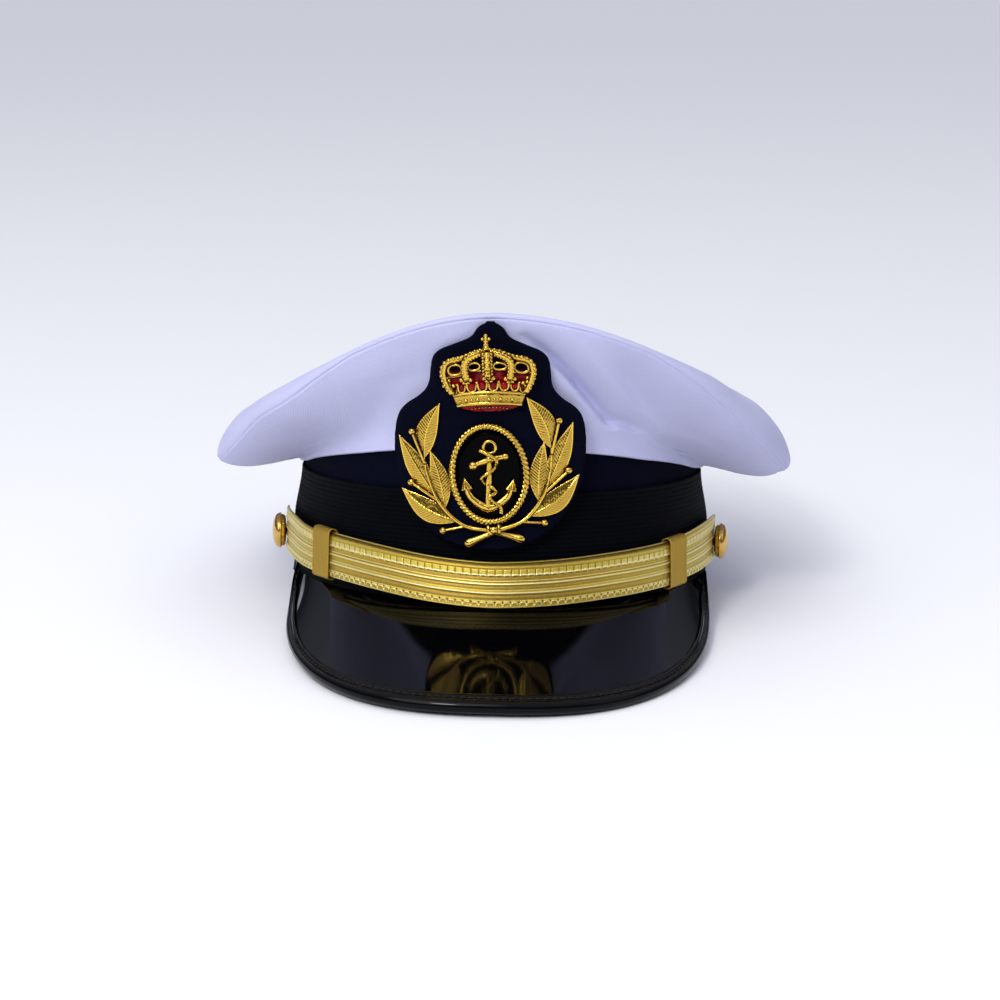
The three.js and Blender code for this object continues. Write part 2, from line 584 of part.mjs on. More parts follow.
// Slide: a flat keeper folded round both layers of the strap
function slide(angle) {
  const stack = 2 * STRAP.thickness + GAP;
  const { clear, wall } = SLIDE;
  const half = { out: stack / 2 + clear, up: SLIDE.height / 2 - wall };
  const corners = (more) => [
    [-half.out - more, -half.up - more], [half.out + more, -half.up - more],
    [half.out + more, half.up + more], [-half.out - more, half.up + more],
  ].map(([x, y]) => new THREE.Vector2(x, y));
  const outline = new THREE.Shape(corners(wall));
  outline.holes.push(new THREE.Path(corners(0)));
  const sleeve = new THREE.ExtrudeGeometry(outline, { depth: SLIDE.length, bevelEnabled: false });
  sleeve.translate(0, 0, -SLIDE.length / 2);
  const ahead = strapMiddle(angle + 1).sub(strapMiddle(angle - 1)).normalize();
  const out = new THREE.Vector3(ahead.y, -ahead.x, 0).normalize();
  const up = ahead.clone().cross(out);
  sleeve.applyMatrix4(new THREE.Matrix4().makeBasis(out, up, ahead));
  sleeve.translate(...strapMiddle(angle).toArray());
  return backToGeometry(solid(sleeve));
}

function strapMiddle(angle) {
  const out = STRAP.offset + STRAP.thickness + GAP / 2;
  return bandPoint(angle, 0, out).setZ(strapHeight(angle));
}

// Badge: drawn flat, as u across, v up and w out from the felt, then laid on the cap's front
function drape(geometry) {
  const position = geometry.attributes.position;
  for (let i = 0; i < position.count; i += 1) {
    const p = badgePoint(position.getX(i), position.getY(i), position.getZ(i));
    position.setXYZ(i, p.x, p.y, p.z);
  }
  geometry.computeVertexNormals();
  return geometry;
}

function badgePoint(u, v, w) {
  const x = BADGE.x + u;
  const z = BADGE.z + v;
  const climb = THREE.MathUtils.clamp((z - BADGE.fromZ) / (BADGE.toZ - BADGE.fromZ), 0, BADGE.mostClimb);
  const face = BADGE.lowY + BADGE.highLean * climb ** BADGE.leanPower - (x * x) / BADGE.acrossCurve;
  return new THREE.Vector3(x, -face - w, z);
}

function badgeFelt() {
  const across = [-1, -0.75, -0.5, -0.25, 0, 0.25, 0.5, 0.75, 1];
  const grid = (w) => FELT.map((row) => across.map((share) => badgePoint(share * row.half, row.v, w)));
  return between(grid(0), grid(-BADGE.felt), false);
}

// The black plate inside the rope ring
function badgePlate() {
  const disc = new THREE.CylinderGeometry(1, 1, PLATE.thickness, PLATE.sides);
  disc.rotateX(Math.PI / 2).scale(PLATE.halfWidth, PLATE.halfHeight, 1);
  return drape(backToGeometry(solid(disc.translate(0, 0, GAP + PLATE.thickness / 2))));
}

function ropeRing() {
  const torus = new THREE.TorusGeometry(RING.halfWidth, RING.wire, RING.sides, RING.steps);
  const position = torus.attributes.position;
  for (let i = 0; i < position.count; i += 1) {
    const turn = Math.atan2(position.getY(i), position.getX(i));
    position.setY(i, position.getY(i) + (RING.halfHeight - RING.halfWidth) * Math.sin(turn));
  }
  return torus.translate(0, 0, GAP + RING.wire);
}

// One branch's middle line, the two crossing at the tie
function branchPoints(side) {
  return BRANCH.map(({ u, v }, k) => {
    const over = side > 0 && k < 2 ? WREATH.over : 0;
    return new THREE.Vector3(side * u, v, WREATH.stemHeight + over);
  });
}

// A laurel leaf with a raised middle rib
function leaf({ along, tipU, tipV, width }, side) {
  const root = new THREE.CatmullRomCurve3(branchPoints(side)).getPoint(along);
  const base = new THREE.Vector2(root.x, root.y);
  const length = new THREE.Vector2(side * tipU, tipV).sub(base);
  const across = new THREE.Vector2(-length.y, length.x).setLength(width / 2);
  const stations = [
    { share: 0, half: 0.16 }, { share: 0.25, half: 0.8 }, { share: 0.5, half: 1 },
    { share: 0.75, half: 0.72 }, { share: 1, half: 0.06 },
  ];
  const points = stations.flatMap(({ share, half }) => {
    const middle = base.clone().addScaledVector(length, share);
    const bow = LEAF.bow * Math.sin(Math.PI * share);
    const edge = (k, w) => {
      const p = middle.clone().addScaledVector(across, k * half);
      return new THREE.Vector3(p.x, p.y, w + bow);
    };
    return [edge(-1, LEAF.low), edge(1, LEAF.low), edge(1, LEAF.low + LEAF.edge),
      edge(0, LEAF.low + LEAF.edge + LEAF.rib), edge(-1, LEAF.low + LEAF.edge)];
  });
  return sweep(points, 5);
}

function badgeWreath() {
  const parts = [ropeRing()];
  for (const side of [-1, 1]) {
    const stem = branchPoints(side);
    parts.push(wire(stem, WREATH.stem, 5, 12));
    for (const row of LEAVES) parts.push(leaf(row, side));
    for (const { along, tipU, tipV } of BERRIES) {
      const foot = new THREE.CatmullRomCurve3(stem).getPoint(along);
      const tip = new THREE.Vector3(side * tipU, tipV, WREATH.berryHeight);
      parts.push(wire([foot, tip], WREATH.stalk, 4, 1));
      parts.push(new THREE.OctahedronGeometry(WREATH.berry).translate(...tip.toArray()));
    }
  }
  parts.push(new THREE.BoxGeometry(TIE.width, TIE.height, TIE.thickness).translate(0, TIE.v, TIE.w));
  const wreath = joined(parts);
  return drape(wreath.rotateZ(THREE.MathUtils.degToRad(WREATH.turn)));
}

// Anchor with its stock, arms, flukes and a rope wound round the shank
function badgeAnchor() {
  const parts = ANCHOR_WIRES.map(({ radius, sides, steps, points }) => (
    wire(points.map(([u, v, w]) => new THREE.Vector3(u, v, ANCHOR.lift + w)), radius, sides, steps)));
  const ring = new THREE.TorusGeometry(ANCHOR.ringRadius, ANCHOR.ringWire, 4, 10);
  parts.push(ring.translate(0, ANCHOR.ringV, ANCHOR.lift));
  for (const side of [-1, 1]) {
    const fluke = new THREE.ConeGeometry(FLUKE.radius, FLUKE.length, 4).scale(1, 1, FLUKE.flatten);
    parts.push(fluke.rotateZ(-side * FLUKE.turn).translate(side * FLUKE.u, FLUKE.v, ANCHOR.lift));
  }
  return drape(joined(parts));
}

// Crown: drawn from its own base, then turned and moved above the ring
function crownPlace(geometry) {
  geometry.rotateZ(THREE.MathUtils.degToRad(CROWN.turn)).translate(0, CROWN.v, 0);
  return drape(geometry);
}

// How far the circlet sags and stands out at a distance from the crown's middle
function circletBend(u) {
  const share = (u / CROWN.halfCirclet) ** 2;
  return { fall: CROWN.sag * share, relief: CROWN.relief * (1 - share) };
}

function crownCirclet(v) {
  const points = [-1, -0.6, -0.2, 0.2, 0.6, 1].map((k) => {
    const { fall, relief } = circletBend(k * CROWN.halfCirclet);
    return new THREE.Vector3(k * CROWN.halfCirclet, v + fall, CROWN.lift + relief);
  });
  return wire(points, CROWN.wire, 5, 8);
}

// One arch, from the circlet out and up to the orb
function crownArch({ foot, out, outV, topU, topV, depth }, side) {
  const { lift } = CROWN;
  return wire([
    new THREE.Vector3(side * foot, CIRCLETS[1] + circletBend(foot).fall, lift + depth * 0.4),
    new THREE.Vector3(side * out, outV, lift + depth),
    new THREE.Vector3(side * topU, topV, lift + depth * 0.8),
    new THREE.Vector3(side * GAP, FINIAL.orbV - FINIAL.orb, lift + 1),
  ], CROWN.wire * 0.9, 5, 8);
}

function badgeCrown() {
  const { lift } = CROWN;
  const parts = CIRCLETS.map(crownCirclet);
  for (const arch of ARCHES) {
    for (const side of arch.out > 0 ? [-1, 1] : [1]) parts.push(crownArch(arch, side));
  }
  for (const u of PEARLS.places) {
    const { fall, relief } = circletBend(u);
    parts.push(new THREE.OctahedronGeometry(PEARLS.radius).translate(u, PEARLS.v + fall, lift + relief));
  }
  const { orbV, orb, crossV, crossHeight, crossWidth, crossWire } = FINIAL;
  parts.push(new THREE.IcosahedronGeometry(orb).translate(0, orbV, lift));
  parts.push(new THREE.BoxGeometry(crossWire, crossHeight, crossWire).translate(0, crossV, lift));
  parts.push(new THREE.BoxGeometry(crossWidth, crossWire, crossWire).translate(0, crossV, lift));
  return crownPlace(joined(parts));
}

// The enamelled cap behind the crown's arches
function crownLining() {
  const across = [-1, -0.6, -0.2, 0.2, 0.6, 1];
  const grid = (w) => LINING.map(({ v, half }) => across.map((k) => new THREE.Vector3(k * half, v, w)));
  return crownPlace(between(grid(GAP + CROWN.lining), grid(GAP), false));
}

// Assembly
const cap = new THREE.Group();

function add(name, geometry, material) {
  geometry.computeVertexNormals();
  const mesh = new THREE.Mesh(geometry, material);
  mesh.name = name;
  cap.add(mesh);
}

const cover = coverPanels();
add('cover_top', cover.top, MATERIALS.cover);
add('cover_side', cover.side, MATERIALS.cover);
add('body_cloth', bodyCloth(), MATERIALS.cloth);
add('ribbed_band', ribbedBand(), MATERIALS.band);
add('visor', visor(), MATERIALS.patent);
add('visor_binding', visorBinding(), MATERIALS.patent);
add('strap_left', strapLength(-STRAP.endAngle, SLIDE.rightAngle + STRAP.tail, true), MATERIALS.lace);
add('strap_right', strapLength(STRAP.endAngle, SLIDE.leftAngle - STRAP.tail, false), MATERIALS.lace);
add('slide_left', slide(SLIDE.leftAngle), MATERIALS.slide);
add('slide_right', slide(SLIDE.rightAngle), MATERIALS.slide);
add('button_left', button(-1), MATERIALS.gold);
add('button_right', button(1), MATERIALS.gold);
add('badge_felt', badgeFelt(), MATERIALS.cloth);
add('badge_wreath', badgeWreath(), MATERIALS.gold);
add('badge_plate', badgePlate(), MATERIALS.black);
add('badge_anchor', badgeAnchor(), MATERIALS.gold);
add('badge_crown', badgeCrown(), MATERIALS.gold);
add('crown_lining', crownLining(), MATERIALS.enamel);

// The cap tips forward until its visor touches the surface that its band's back stands on
function restingTilt() {
  const back = BAND.halfLength;
  const position = cap.getObjectByName('visor_binding').geometry.attributes.position;
  let tilt = 0;
  for (let i = 0; i < position.count; i += 1) {
    tilt = Math.max(tilt, Math.atan2(-position.getZ(i), back - position.getY(i)));
  }
  return tilt;
}
cap.rotation.x = -restingTilt();

// The origin is the middle of the underside of the cap's bounding box
const model = new THREE.Group();
model.add(cap);
const bounds = new THREE.Box3().setFromObject(model, true);
const centre = bounds.getCenter(new THREE.Vector3());
cap.position.set(-centre.x, -centre.y, -bounds.min.z);

export default model;
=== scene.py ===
"""Builds the visible pieces of a peaked officer cap round its fixed frame: cover, body, band, visor,
chin strap, buttons and badge, with their finishes, and the stage they are shown on.

Shapes are worked out in millimetres in the cap's own frame, where z = 0 is the band's lower edge, and then
tipped and moved to where the cap rests.
"""
import math
from collections import namedtuple
from itertools import accumulate

import bmesh
import bpy
from bpy.props import FloatProperty, FloatVectorProperty, PointerProperty
from mathutils import Matrix, Vector, noise


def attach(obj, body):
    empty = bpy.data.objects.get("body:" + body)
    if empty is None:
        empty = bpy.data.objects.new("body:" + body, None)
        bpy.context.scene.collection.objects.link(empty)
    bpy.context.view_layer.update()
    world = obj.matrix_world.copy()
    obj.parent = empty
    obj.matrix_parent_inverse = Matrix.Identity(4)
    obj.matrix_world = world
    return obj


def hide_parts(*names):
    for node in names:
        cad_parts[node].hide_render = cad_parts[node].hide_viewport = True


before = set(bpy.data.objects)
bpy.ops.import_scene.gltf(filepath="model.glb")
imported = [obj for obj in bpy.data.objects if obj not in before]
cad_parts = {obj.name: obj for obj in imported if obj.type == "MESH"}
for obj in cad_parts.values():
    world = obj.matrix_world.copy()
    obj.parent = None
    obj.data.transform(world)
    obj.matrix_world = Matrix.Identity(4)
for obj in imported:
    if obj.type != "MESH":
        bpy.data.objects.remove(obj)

bl_info = {
    "name": "Peaked Officer Cap",
    "version": (1, 0, 0),
    "blender": (4, 5, 0),
    "location": "View3D > Sidebar > Cap",
    "description": "Builds a peaked uniform cap with its cover, band, visor, strap and badge",
    "category": "Add Mesh",
}

MM = 0.001
UP = Vector((0, 0, 1))
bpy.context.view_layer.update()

# Where the cap's own frame lies once it rests on its visor and the back of its band
REST_TURN = Matrix.Rotation(-math.radians(6.7376), 4, "X")
REST_PLACE = Vector((-1.3942, 7.5111, 12.4362))


def rows(columns, *values):
    """A short table with named columns."""
    row = namedtuple("Row", columns)
    return [row(*value) for value in values]


# Sizes of the cloth pieces, in millimetres
GAP = 0.3
BAND_HALF, BAND_TOP_HALF, BAND_LENGTH, BAND_HEIGHT, BAND_WALL, BAND_TAPER = 84, 81, 106, 40.4, 1.2, 18
BODY_WALL, BODY_ABOVE, COVER_OFFSET, COVER_WALL = 2, 7, 0.6, 1.8
RIM_HALF, RIM_LENGTH, RIM_POWER, RIM_CENTRE = 116.9, 129, 2.15, Vector((1.4, 9, 0))
ROLL_BULGE, ROLL_REACH, ROLL_LEAST = 0.16, 1.05, 2.3
# How the rim is fuller at one side of the cap: where, how far round, how far it bulges and rises, and how far
# the seam tucks in and drops
FULL_ANGLE, FULL_SPREAD, FULL_BULGE, FULL_RISE, FULL_TUCK, FULL_DROP = 88, 18, 0.36, 3, 7, 2.6

# Round the cap from the front: cover edge, seam of the top, how far the seam leans, and the side's sag
ROUND = rows(
    "angle edge seam lean sag",
    (0, 57, 105.4, 0, 5), (10, 56.6, 103.8, 0.3, 5), (20, 55.6, 97.4, 0.7, 5), (30, 54, 86.7, 1.7, 5),
    (40, 51.9, 74.1, 1.9, 5), (50, 49.6, 62.7, 0, 6), (60, 47, 52, -0.8, 7), (70, 44, 44.8, -0.8, 8),
    (90, 40.7, 40.6, 0, 8), (105, 40.7, 45, 0.5, 7), (120, 40.7, 52, 0.5, 6), (135, 40.7, 60, 0.5, 5),
    (150, 40.7, 66, 0.3, 5), (165, 40.7, 69.3, 0, 5), (180, 40.7, 70, 0, 5))

# The top panel: how its middle is rounded off, how its slopes to the front and the rear fade across the cap,
# how softly one turns into the other, and its height across the cap
TOP_SOFT, FRONT_SLOPE, FRONT_SLOPE_HALF = (12, 45), 0.123, 97
REAR_SLOPE, REAR_SLOPE_FROM, REAR_SLOPE_TO, SLOPE_BEND = 0.105, 60, 116, 40
ARCH = rows(
    "x z lean",
    (0, 91.7, 0), (40, 86.9, 1.2), (64, 80.4, 2.4), (81, 75.4, 2.9), (89, 72, 2.6), (97, 67.7, 2),
    (105, 62.9, 1.6), (113, 56, 1.5), (120, 47, 1.5))

# The side panel's curve: how far out its four guiding places lie, and how high the middle two
SIDE_OUT, SIDE_LOW, SIDE_SPRING, SIDE_HIGH = (0, 0.02, 0.68, 1), 0.33, 4, 0.2

# Creases pressed into the side panel, from and to, as angle and share of its height, and how sharply they end
FOLDS = rows(
    "from_angle from_share to_angle to_share depth width",
    (24, 0.95, 43, 0.02, 2.2, 5), (-22, 0.6, -36, 0.1, 1.4, 7), (-62, 0.3, -72, 0.7, 0.8, 5),
    (140, 0.8, 128, 0.1, 1.2, 7), (-150, 0.8, -138, 0.1, 1.2, 7))
FOLD_ENDS = 60

# Finer creases of the cotton, from and to, as angle and share of the side's height: how deep, and how wide
# below and above the crease
CREASES = rows(
    "from_angle from_share to_angle to_share depth below above",
    (7, 0.82, 28, 0.29, 4.4, 2.6, 6), (5, 0.86, 30, 0.25, 3.1, 1.3, 1.9), (27, 0.3, 37, 0.31, 2.4, 1.8, 4),
    (22, 0.8, 41, 0.5, 2.4, 4, 8),
    (41, 0.55, 58, 0.72, 0.5, 2.2, 4), (45, 0.25, 63, 0.37, 1.7, 1.5, 6), (52, 0.93, 63, 0.6, 0.4, 3, 3),
    (-16, 0.9, -14, 0.35, 1.1, 8, 8), (-51, 0.32, -63, 0.5, 0.9, 2.0, 5),
    (-56, 0.94, -52, 0.6, 0.8, 1.6, 2.2), (-61, 0.86, -57, 0.48, 1.0, 1.6, 2.4),
    (-69, 0.34, -77, 0.12, 0.9, 3.5, 3.5),
    (100, 0.85, 108, 0.2, 1.0, 6, 6), (-118, 0.2, -104, 0.7, 0.9, 4, 7), (150, 0.75, 143, 0.2, 1.0, 4, 6),
    (178, 0.8, 171, 0.2, 1.3, 4, 7), (-163, 0.75, -168, 0.15, 1.0, 7, 4))
# How long a degree and the whole height of the side count for a crease's width, in millimetres, how many
# widths a crease reaches, how shallow it is at its ends and how fast all fade out at hem and seam
DEGREE_LENGTH, SIDE_LENGTH, CREASE_REACH, CREASE_ENDS, CREASE_FADE = 1.8, 50, 3, 0.12, 9

# The height of the strap's middle on either side, and its section and ends
STRAP_LINE = rows(
    "angle left right",
    (0, 7.3, 7.3), (15, 8.9, 8.2), (30, 11, 9.5), (40, 12.2, 10.3), (50, 12.9, 11.1), (60, 13.6, 12.1),
    (73.5, 14.7, 13.6), (80, 14.3, 13.3), (90, 12.4, 11.4))
STRAP_WIDTH, STRAP_THICK, STRAP_OFFSET = 16.8, 1.2, 1.3
STRAP_AWAY, STRAP_FLARE, STRAP_SOFT = 0.9, 1.4, (4, 30)
STRAP_FLARE_FROM, STRAP_DOUBLED, STRAP_SINGLE, STRAP_END, STRAP_TAIL, UNDER_EDGE = 50, 56, 68, 86, 4, 0.6
# Ribs across the lace, from its upper edge down: each with its middle, half width, height, and the painted
# highlight on its crest
RIBS = rows(
    "centre half height tone",
    (0.27, 0.3, 0.3, 0.75), (1.95, 0.85, 0.3, 0.5), (5.85, 0.8, 0.12, 0.36), (6.85, 0.3, 0.36, 0.9),
    (7.95, 0.55, 0.62, 1), (9.25, 0.85, 0.14, 0.38), (10.3, 0.28, 0.36, 0.85), (11.25, 0.56, 0.62, 1),
    (12.75, 1.0, 0.12, 0.36), (14.05, 0.28, 0.32, 0.75), (16.45, 0.35, 0.35, 0.8))
# The two patterned rows, from and to, and the scalloped edge between them, as middle and half width
LADDER_HIGH, LADDER_SCALLOP, LADDER_LOW = (2.75, 4.2), (4.6, 0.42), (14.35, 16.1)
SLIDE_LENGTH, SLIDE_HEIGHT, SLIDE_WALL, SLIDE_CLEAR = 11.5, 19.6, 0.45, 0.18
SLIDE_LEFT, SLIDE_RIGHT, SLIDE_CORNER, SLIDE_RIB, SLIDE_RIB_HEIGHT = -48, 51.4, 1.7, 0.95, 0.12
SLIDE_EDGE, SLIDE_EDGE_WIDTH = 0.25, 0.35
BUTTON_ANGLE, BUTTON_STAND, BUTTON_DROP = 81, 0.9, 1.5

# The visor's outline, how it meets the band, and how its rim rises to the corners
VISOR_WALL, VISOR_HALF, VISOR_X, VISOR_FRONT, VISOR_CORNER, VISOR_POWER = 2, 81, 1, -157, -33, 2.5
VISOR_ANGLE, VISOR_INSET, VISOR_INNER_Z, VISOR_FRONT_Z = 71, 0.8, 0.3, -26.6
VISOR_RISE, VISOR_RISE_LENGTH, VISOR_RISE_POWER = 23.5, 168, 1.26
VISOR_LIFT, VISOR_LIFT_REACH, VISOR_HOLLOW, VISOR_LEAN = 14, 26, 0.12, 0.006

# The badge's place, how it leans with the cap's front, and its felt's half width from the lower end up
BADGE_X, BADGE_Z, FELT_THICK = -1.4, 48.2, 2.4
BADGE_LOW_Y, BADGE_LEAN, BADGE_FROM_Z, BADGE_TO_Z, BADGE_POWER, BADGE_ACROSS = 110.2, 12.6, 6, 102, 2.6, 220
FELT = rows(
    "v half",
    (-27.6, 3), (-26.2, 11.5), (-22.5, 19.4), (-16.5, 26), (-9, 30.6), (0, 33.6), (9, 34.5), (17, 34),
    (22, 32.4), (25, 29.6), (27.4, 26), (30, 23.3), (33, 21.9), (37, 21.4), (41.5, 20.6), (44.5, 18),
    (46.4, 13.5), (49.2, 7.2), (53, 4.2), (54.5, 1.2))
FELT_LOW, FELT_HIGH = -27.8, 54.9
# The rope ring, the tie, the black oval, and the branches with their leaves and berries
RING_HALF, RING_HEIGHT, RING_WIRE, WREATH_TURN, ROPE_STEPS, TIE_V = 13.2, 17.3, 1.45, 5.5, 9, -20.4
PLATE_HALF, PLATE_HEIGHT, PLATE_THICK, ANCHOR_OUT = 11.2, 15.3, 1, 2.75
BRANCH = rows("u v", (-10.8, -24.8), (0.5, -20.9), (11, -17.8), (18.6, -9.5), (22, 0), (23, 7.5))
LEAVES = rows(
    "along tip_u tip_v width bow",
    (0.99, 15.4, 26.8, 7.4, 0.75), (0.65, 31.4, 16.4, 7.2, 0.15), (0.55, 20.6, 10.2, 6.6, -0.45),
    (0.44, 32.2, -2.9, 7.8, 0.8))
BERRIES = rows("along tip_u tip_v", (0.93, 26.5, 17.2), (0.62, 28.5, -1.2), (0.38, 18.4, -19.4))
# The crown's place, turn and relief, and its lining's half width
CROWN_V, CROWN_TURN, CROWN_LIFT, CROWN_RELIEF = 22.5, 2.5, 2.75, 1.7
LINING = rows("v half", (0.4, 5.5), (1.6, 9.5), (4, 12), (8, 13.2), (12, 14.6), (14.6, 14.9))
# Half of the crown's arches: the places each runs through, how far it stands out, its width and its beads
ARCHES = rows(
    "places depth wire bead aside",
    (((13, 6.8), (15.1, 10.6), (16, 14), (15.4, 17), (13.4, 18.6), (10.7, 19.2), (8.2, 19.8), (5.8, 20.8),
      (3.1, 21.7), (0.4, 22)), 2.0, 1.0, 0.72, (-0.55,)),
    (((7.6, 12), (8.1, 14.4), (8.2, 16.8), (7.6, 18.6), (5.7, 20), (3.5, 20.9), (1, 21.6)), 3.0, 1.15, 0.58,
     (-0.75, 0.75)))
# The pierced openings over the circlet, the ledges between them, and the flowers with their petals
OPENINGS = rows(
    "u v half height turn",
    (-11.7, 15.5, 2.5, 1.85, 8), (-5, 16.5, 2.2, 1.35, 8), (4.2, 16.5, 2.4, 1.25, -4),
    (11.8, 15.8, 2.6, 1.85, -12))
LEDGES = (((-14.8, 12.5), (-10.4, 13.3), (-7.4, 13.9)), ((-7, 15), (-2.4, 15)), ((1.8, 15.5), (6.6, 15.2)),
          ((8.4, 14.2), (14.9, 13.8)))
FLOWERS = rows("u v", (-14.1, 9.9), (-7.9, 12), (0.2, 12.5), (7.7, 12.1), (13.8, 10.4))
PETALS = rows(
    "u v radius",
    (0, 0.1, 1.05), (-1.55, -0.2, 0.95), (1.55, -0.2, 0.95), (0, 1.6, 0.85), (-0.8, -1.2, 0.7),
    (0.8, -1.2, 0.7))
# The orb and the cross on it
FINIAL = rows(
    "u v radius",
    (-0.4, 22.7, 1.45), (-0.4, 24.2, 1.0), (-0.4, 25.4, 0.9), (-1.5, 26.2, 0.68), (0.7, 26.2, 0.68),
    (-0.4, 26.4, 0.75), (-0.4, 27.4, 0.7))
# The little shields along the circlet, and its two edges as half width, height and bow
SHIELDS = rows(
    "u v half",
    (-12.2, 8.0, 1.0), (-9.6, 8.7, 1.4), (-6, 9, 1.7), (-2.2, 9.2, 1.7), (1.7, 9.3, 1.7), (5.5, 9.3, 1.7),
    (9.2, 9, 1.5), (12, 8.4, 1.1))
CIRCLET_LOW, CIRCLET_HIGH = (11.3, 2.2, 0.8), (12.8, 6.3, 1.1)


# Reading the tables and working out the cap's surfaces
def clamp(value, low=0.0, high=1.0):
    return min(max(value, low), high)


def smoothstep(value, low, high):
    share = clamp((value - low) / (high - low))
    return share * share * (3 - 2 * share)


def lerp(a, b, share):
    return a + (b - a) * share


def spread(low, high, count):
    """Evenly spaced values from low to high, both included."""
    return [low + (high - low) * i / (count - 1) for i in range(count)]


def full_turn(count):
    """Evenly spaced angles of one full turn, in radians."""
    return spread(0, 2 * math.pi, count + 1)[:-1]


def runs(path, closed=False):
    """How far each place of a path lies from its start, and a closed one's return to it."""
    ahead = path[1:] + (path[:1] if closed else [])
    return list(accumulate(((b - a).length for a, b in zip(path, ahead)), initial=0.0))


def read(table, column, value):
    """Reads a named column by the value of a table's first one, along a smooth curve through its rows."""
    last = len(table) - 1
    i = 0
    while i < last - 1 and value > table[i + 1][0]:
        i += 1

    def at(k):
        row = table[clamp(k, 0, last)]
        return row[0], getattr(row, column)

    def slope(k):
        (before, low), (after, high) = at(k - 1), at(k + 1)
        return (high - low) / (after - before)

    (here, low), (there, high) = at(i), at(i + 1)
    step = there - here
    s = clamp((value - here) / step)
    start = low * (1 + 2 * s) * (1 - s) ** 2 + slope(i) * step * s * (1 - s) ** 2
    return start + high * s * s * (3 - 2 * s) - slope(i + 1) * step * s * s * (1 - s)


def rounded(value, soft, far):
    """The size of a value, with the corner at nought rounded off."""
    out = abs(value)
    return math.hypot(out, soft) - soft * (1 - smoothstep(out, soft, far))


def leaning(table, column, place, out):
    """Reads a column by the distance from the middle, with the table's lean to one side added."""
    return read(table, column, out) + math.copysign(read(table, "lean", out), place)


def oval(angle, half_width, half_length, power=2):
    """A point of an oval outline, by its angle in degrees from the front."""
    t = math.radians(angle)
    reach = (abs(math.cos(t)) ** power + abs(math.sin(t)) ** power) ** (-1 / power)
    return Vector((half_width * reach * math.sin(t), -half_length * reach * math.cos(t), 0))


def band_point(angle, z, offset=0):
    half = lerp(BAND_HALF, BAND_TOP_HALF, smoothstep(z, BAND_TAPER, BAND_HEIGHT))
    point = oval(angle, half + offset, BAND_LENGTH + offset)
    point.z = z
    return point


def cover_edge(angle):
    """The height of the cover's lower edge."""
    return read(ROUND, "edge", abs(angle))


def fullness(angle):
    """How much of the rim's fuller place shows, from 0 to 1."""
    return math.exp(-((angle - FULL_ANGLE) / FULL_SPREAD) ** 2)


def seam_outline(angle):
    point = oval(angle, RIM_HALF, RIM_LENGTH, RIM_POWER)
    return point * (1 - FULL_TUCK * fullness(angle) / point.length) + RIM_CENTRE


def top_height(x, y):
    out = abs(x)
    front = FRONT_SLOPE * max(0, 1 - (out / FRONT_SLOPE_HALF) ** 2)
    rear = REAR_SLOPE * (1 - smoothstep(out, REAR_SLOPE_FROM, REAR_SLOPE_TO))
    bend = math.hypot(y, SLOPE_BEND) - SLOPE_BEND
    arch = leaning(ARCH, "z", x, rounded(x, *TOP_SOFT))
    return arch - y * (front + rear) / 2 - bend * (rear - front) / 2


def seam_height(angle):
    rim = seam_outline(angle)
    height = min(leaning(ROUND, "seam", angle, abs(angle)), top_height(rim.x, rim.y) - ROLL_LEAST)
    return height - FULL_DROP * fullness(angle)


def fold_depth(angle, share):
    """How far the creases press the side panel in."""
    depth = 0
    for fold in FOLDS:
        s = clamp((share - fold.from_share) / (fold.to_share - fold.from_share))
        across = (angle - lerp(fold.from_angle, fold.to_angle, s)) / fold.width
        beyond = share - lerp(fold.from_share, fold.to_share, s)
        press = math.exp(-across * across - FOLD_ENDS * beyond * beyond)
        depth += fold.depth * press * math.sin(math.pi * share)
    return depth


def on_side(angle, share):
    """A place of the side panel laid flat, in millimetres."""
    return Vector((angle * DEGREE_LENGTH, share * SIDE_LENGTH))


def crease_depth(angle, share):
    """How far the finer creases press in, each along a straight run over the side panel."""
    depth = 0
    place = on_side(angle, share)
    for crease in CREASES:
        start = on_side(crease.from_angle, crease.from_share)
        run = on_side(crease.to_angle, crease.to_share) - start
        along = clamp((place - start).dot(run) / run.dot(run))
        off = place - start - run * along
        side = smoothstep(off.y / max(off.length, 0.001), -0.5, 0.5)
        far = off.length / lerp(crease.below, crease.above, side)
        if far < CREASE_REACH:
            deep = math.sin(math.pi * lerp(CREASE_ENDS, 1 - CREASE_ENDS, along))
            depth += crease.depth * math.exp(-far * far) * deep
    return depth * clamp(share * CREASE_FADE) * clamp((1 - share) * CREASE_FADE)


def side_line(angle, shares):
    """The side panel's outer face at one angle, from its hem up to the seam."""
    edge, seam = cover_edge(angle), seam_height(angle)
    sag = read(ROUND, "sag", abs(angle)) - FULL_DROP * fullness(angle)
    low, high = band_point(angle, edge, COVER_OFFSET), seam_outline(angle)
    rise = seam - edge
    heights = (edge, edge + SIDE_LOW * rise + SIDE_SPRING, seam - SIDE_HIGH * rise - sag, seam)
    line = []
    for t in shares:
        weights = ((1 - t) ** 3, 3 * t * (1 - t) ** 2, 3 * t * t * (1 - t), t ** 3)
        point = low.lerp(high, sum(w * o for w, o in zip(weights, SIDE_OUT)))
        point.z = sum(w * h for w, h in zip(weights, heights))
        inwards = Vector((-point.x, -point.y, 0)).normalized()
        line.append(point + inwards * (fold_depth(angle, t) + crease_depth(angle, t)))
    return line


